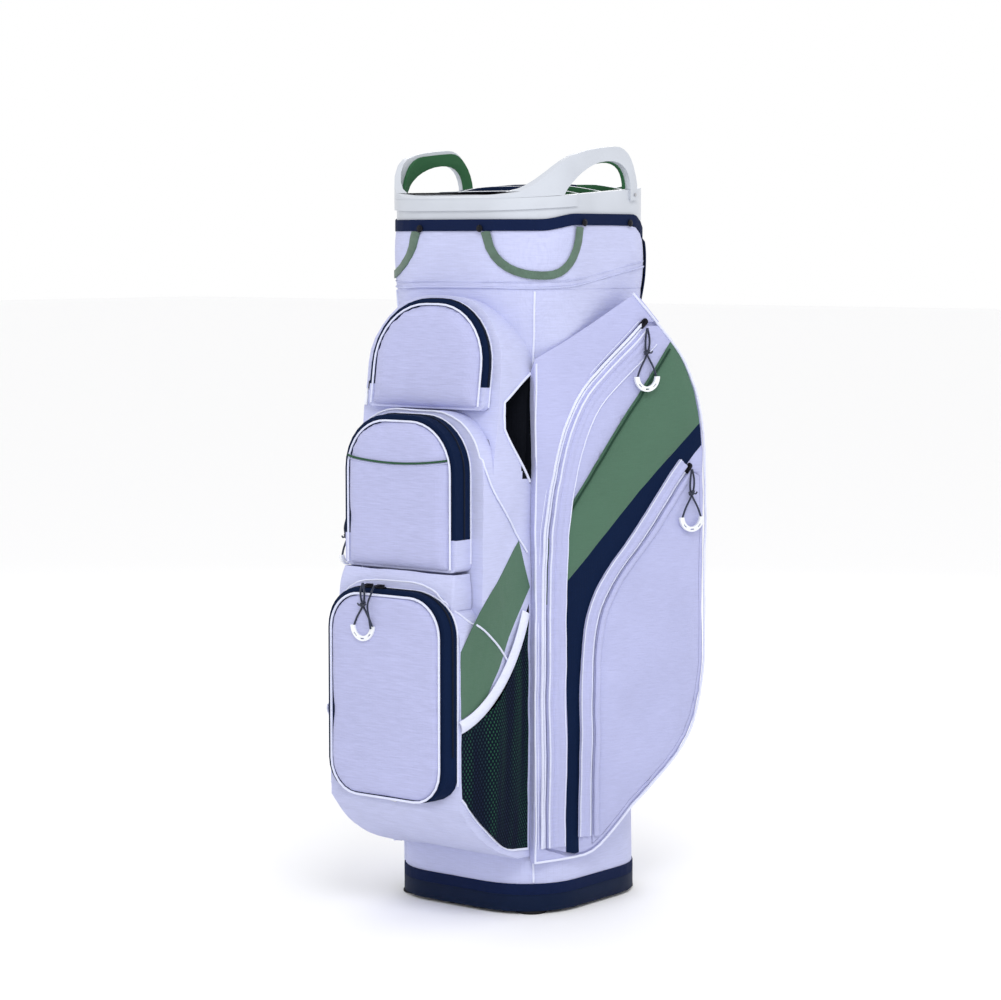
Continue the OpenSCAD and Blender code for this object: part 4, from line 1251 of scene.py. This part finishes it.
def crown(piece, height, width):
    """Raises the middle of a sewn panel's front, and lets its rim lie flat."""
    mesh = piece.data
    front = [p for p in mesh.polygons if p.normal.y < -0.7]
    seen = {}
    for face in front:
        for key in face.edge_keys:
            seen[key] = seen.get(key, 0) + 1
    rim = []
    for (a, b), count in seen.items():
        if count == 1:
            start, stop = mesh.vertices[a].co, mesh.vertices[b].co
            steps = max(1, int((stop - start).length / 0.004))
            rim += [start + (stop - start) * i / steps for i in range(steps + 1)]
    tree = kdtree.KDTree(len(rim))
    for i, point in enumerate(rim):
        tree.insert(point, i)
    tree.balance()
    moved = set(i for face in front for i in face.vertices)
    shifts = {}
    for i in moved:
        t = min(tree.find(mesh.vertices[i].co)[2] / width, 1)
        shifts[i] = height * sqrt(1 - (1 - t) ** 2)
    for i, shift in shifts.items():
        mesh.vertices[i].co.y -= shift
    mesh.update()


for side in ("right", "left"):
    shell = copy_of("side_pocket_" + side, "side_shell_" + side)
    round_edges(shell, 0.0025, 3, 45)
    cut_grid(shell, 0.014)
    move_points(shell, lambda p: drape(p) * 0.8)
    smooth(shell, 50)
    finish(shell, shaded_side_fabric, "white_fabric", "bag", "side_shell_" + side)
    shell.data.materials.append(painted_shade_lining)
    # The inward faces of each shell take the near-black cloth: painted shade.
    for face in shell.data.polygons:
        if abs(face.center.x) < 0.1115 and face.normal.x * face.center.x < -0.04:
            face.material_index = 1

patches = (
    ("side_panel", "swing_panel", shaded_side_fabric, "white_fabric", "side_panel", 0.0035),
    ("green_stripe", "side_green_stripe", lit_green_side, "green_fabric", "side_panel", 0.0022),
    ("navy_stripe", "side_navy_stripe", navy_fabric, "navy_fabric", "side_panel", 0.0015),
    ("lower_door", "door_skin", shaded_side_fabric, "white_fabric", "lower_door", 0.0034),
)
for node, name, material, slot, body, height in patches:
    for side in ("right", "left"):
        patch = copy_of(name + "_" + side, node + "_" + side)
        if side == "left":
            mirror_mesh(patch)
        place(patch, inverse_side)
        cut_grid(patch, 0.011)
        crown(patch, height, 0.030 if node == "lower_door" else 0.018)
        move_points(patch, side_drape)
        place(patch, side_place)
        if side == "left":
            mirror_mesh(patch)
        smooth(patch, 50)
        finish(patch, material, slot, body + "_" + side[0], node + "_" + side)

# ---- side zips and piping ----
# Reverse coil zips under white tape: two ridges beside the coil and a row of stitches on
# each side. White piping follows the rear edge of the swinging panel.


def side_line(name, path, y, radius, right_only=False):
    run = [p + side_drape(p) for p in on_side(even(path, 0.009), y)]
    return place(tube_along(name, run, radius), side_place)


def both_sides(name, parts, material, slot, body, *nodes):
    right = joined(name + "_right", parts)
    left = new_piece(name + "_left", right.data.copy())
    mirror_mesh(left)
    finish(right, material, slot, body + ("_r" if body != "bag" else ""), *nodes)
    finish(left, material, slot, body + ("_l" if body != "bag" else ""), *nodes)


def side_flap(name, path, profile):
    """A folded strip beside a zip: pairs of a distance from the zip and a height."""
    dense = [tuple(p) for p in even(path, 0.009)]
    rails = [beside(dense, offset) for offset, _ in profile]
    rows = []
    for i in range(len(dense)):
        rows.append([Vector((rail[i].x, -height, rail[i].y)) for rail, (_, height) in zip(rails, profile)])
    rows = [[p + side_drape(p) for p in row] for row in rows]
    return place(strip(name, rows, 0.0012), side_place)


upper_profile = ((0.0036, 0.0), (0.0044, 0.0042), (0.0068, 0.0052), (0.0092, 0.0040), (0.0110, 0.0030),
                 (0.0135, 0.0044), (0.0165, 0.0046), (0.0185, 0.0038), (0.0205, 0.0046), (0.0245, 0.0050),
                 (0.0272, 0.0042), (0.0280, 0.0010))
lower_profile = ((-0.0030, 0.0), (-0.0038, 0.0042), (-0.0062, 0.0052), (-0.0086, 0.0040), (-0.0104, 0.0034),
                 (-0.0130, 0.0046), (-0.0162, 0.0046), (-0.0172, 0.0010))
inner_profile = ((0.0040, 0.0034), (0.0048, 0.0046), (0.0070, 0.0050), (0.0094, 0.0044), (0.0104, 0.0034))
both_sides("upper_zip_flap", [side_flap("flap", upper_zip(), upper_profile)],
           shaded_side_fabric, "white_fabric", "side_panel")
both_sides("lower_zip_flap", [side_flap("flap", lower_zip(), lower_profile)],
           shaded_side_fabric, "white_fabric", "side_panel")
both_sides("lower_zip_facing", [side_flap("flap", lower_zip(), inner_profile)],
           shaded_side_fabric, "white_fabric", "lower_door")
both_sides("upper_zip_tape", [
    side_line("ridge", beside(upper_zip(), 0.0046), -0.0042, 0.0012),
    side_line("stitch", beside(upper_zip(), 0.0275), -0.0050, 0.0008),
], piping_fabric, "white_binding", "side_panel")
both_sides("upper_zip_edge", [
    side_line("ridge", beside(upper_zip(), -0.0046), -0.0012, 0.0019),
    side_line("coil", beside(upper_zip(), 0.0), 0.0004, 0.0016),
    side_line("stitch", beside(upper_zip(), -0.0100), -0.0001, 0.0005),
], piping_fabric, "white_binding", "bag", "side_zips")
both_sides("lower_zip_edge", [
    side_line("ridge", beside(lower_zip(), -0.0046), -0.0034, 0.0011),
    side_line("coil", beside(lower_zip(), 0.0), -0.0006, 0.0016),
    side_line("stitch", beside(lower_zip(), -0.0168), -0.0048, 0.0008),
], piping_fabric, "white_binding", "side_panel")
hem = [(0.001, side_foot), (0.030, side_foot)] + rear_edge()
both_sides("rear_edge_piping", [
    side_line("piping", beside(hem, 0.0008), -0.0004, 0.0016),
    side_line("front", [(0.0012, side_foot), (0.0012, side_top - 0.085)], 0.0, 0.0013),
], piping_fabric, "white_binding", "bag")
stripe_piping = plastic("dark_green_piping", (0.016, 0.050, 0.030), 0.7, 900, 0.0002)
stripe_edge = [(0.050, side_top - 0.2635), (0.199, side_top - 0.0688)]
both_sides("green_stripe_piping", [side_line("piping", stripe_edge, -0.0042, 0.0013)],
           stripe_piping, "green_fabric", "side_panel")

# ---- spine and its rings ----
# A navy panel down the back, with a sewn tab and a plated ring near each end.

spine = copy_of("spine_panel", "spine_pad")
round_edges(spine, 0.0014, 2)
cut_grid(spine, 0.014)
smooth(spine, 50)
finish(spine, navy_fabric, "navy_fabric", "bag", "spine_pad")

ring_metal, ring_tree, ring_shader = new_material("plated_wire", (0.5, 0.5, 0.53), 0.28)
ring_shader.inputs["Metallic"].default_value = 1
bump(ring_tree, ring_shader, [(noise_texture(ring_tree, object_coordinates(ring_tree), 700), 0.00005)])
rings = copy_of("strap_rings", "strap_rings")
round_edges(rings, 0.0005, 2, 60)
smooth(rings, 50)
finish(rings, ring_metal, "ring_metal", "bag", "strap_rings")

# ---- shoulder strap ----
# Acetal hooks on navy webbing, and a padded sleeve over the middle of it.

hook_plastic = plastic("acetal", (0.010, 0.010, 0.014), 0.32, 700, 0.0001)
hooks = copy_of("strap_hooks", "strap_hooks")
round_edges(hooks, 0.0008, 2, 60)
smooth(hooks, 50)
finish(hooks, hook_plastic, "hook_plastic", "shoulder_strap", "strap_hooks")

navy_webbing = webbing("navy_webbing", (0.008, 0.018, 0.055), 0.0018)
strap = copy_of("strap_webbing", "strap_webbing")
round_edges(strap, 0.0004, 2, 60)
smooth(strap)
finish(strap, navy_webbing, "strap_fabric", "shoulder_strap", "strap_webbing")

strap_pad = copy_of("shoulder_pad", "strap_pad")
swell(strap_pad, 0.0045, 3.0, 0.005)
finish(strap_pad, navy_fabric, "strap_fabric", "shoulder_strap", "strap_pad")

# ---- studio ----
# A pale floor, a bright even surround and two large soft lights; the camera looks from
# the front right, a little above the middle of the bag.

bpy.ops.object.select_all(action="DESELECT")
bpy.ops.mesh.primitive_plane_add(size=60, location=(0, 0, 0))
floor = bpy.context.view_layer.objects.active
floor.name = "floor"
floor_paint = new_material("floor_paint", (0.96, 0.96, 0.965), 0.9)[0]
floor.data.materials.append(floor_paint)

world = bpy.data.worlds.new("studio")
world.use_nodes = True
world.node_tree.nodes["Background"].inputs["Color"].default_value = (1.0, 1.0, 1.0, 1)
world.node_tree.nodes["Background"].inputs["Strength"].default_value = 1.0
bpy.context.scene.world = world


def soft_light(name, azimuth, distance, height, size, power):
    lamp = bpy.data.lights.new(name, "AREA")
    lamp.shape = "SQUARE"
    lamp.size = size
    lamp.energy = power
    light = bpy.data.objects.new(name, lamp)
    a = radians(azimuth)
    light.location = (distance * sin(a), -distance * cos(a), height)
    look = Vector((0, 0, 0.45)) - light.location
    light.rotation_euler = look.to_track_quat("-Z", "Y").to_euler()
    bpy.context.scene.collection.objects.link(light)


soft_light("key_light", 44, 2.6, 2.6, 1.1, 34)
soft_light("back_light", 215, 2.8, 1.8, 1.6, 10)

camera_data = bpy.data.cameras.new("camera")
camera_data.sensor_width = 36
camera_data.lens = 102.8
camera = bpy.data.objects.new("camera", camera_data)
camera_azimuth, camera_distance, camera_height = radians(38), 3.6, 0.82
camera.location = (camera_distance * sin(camera_azimuth), -camera_distance * cos(camera_azimuth),
                   camera_height)
camera.rotation_euler = (radians(90 - 5.1), 0, radians(38.37))
bpy.context.scene.collection.objects.link(camera)
bpy.context.scene.camera = camera
bpy.context.scene.view_settings.view_transform = "Standard"
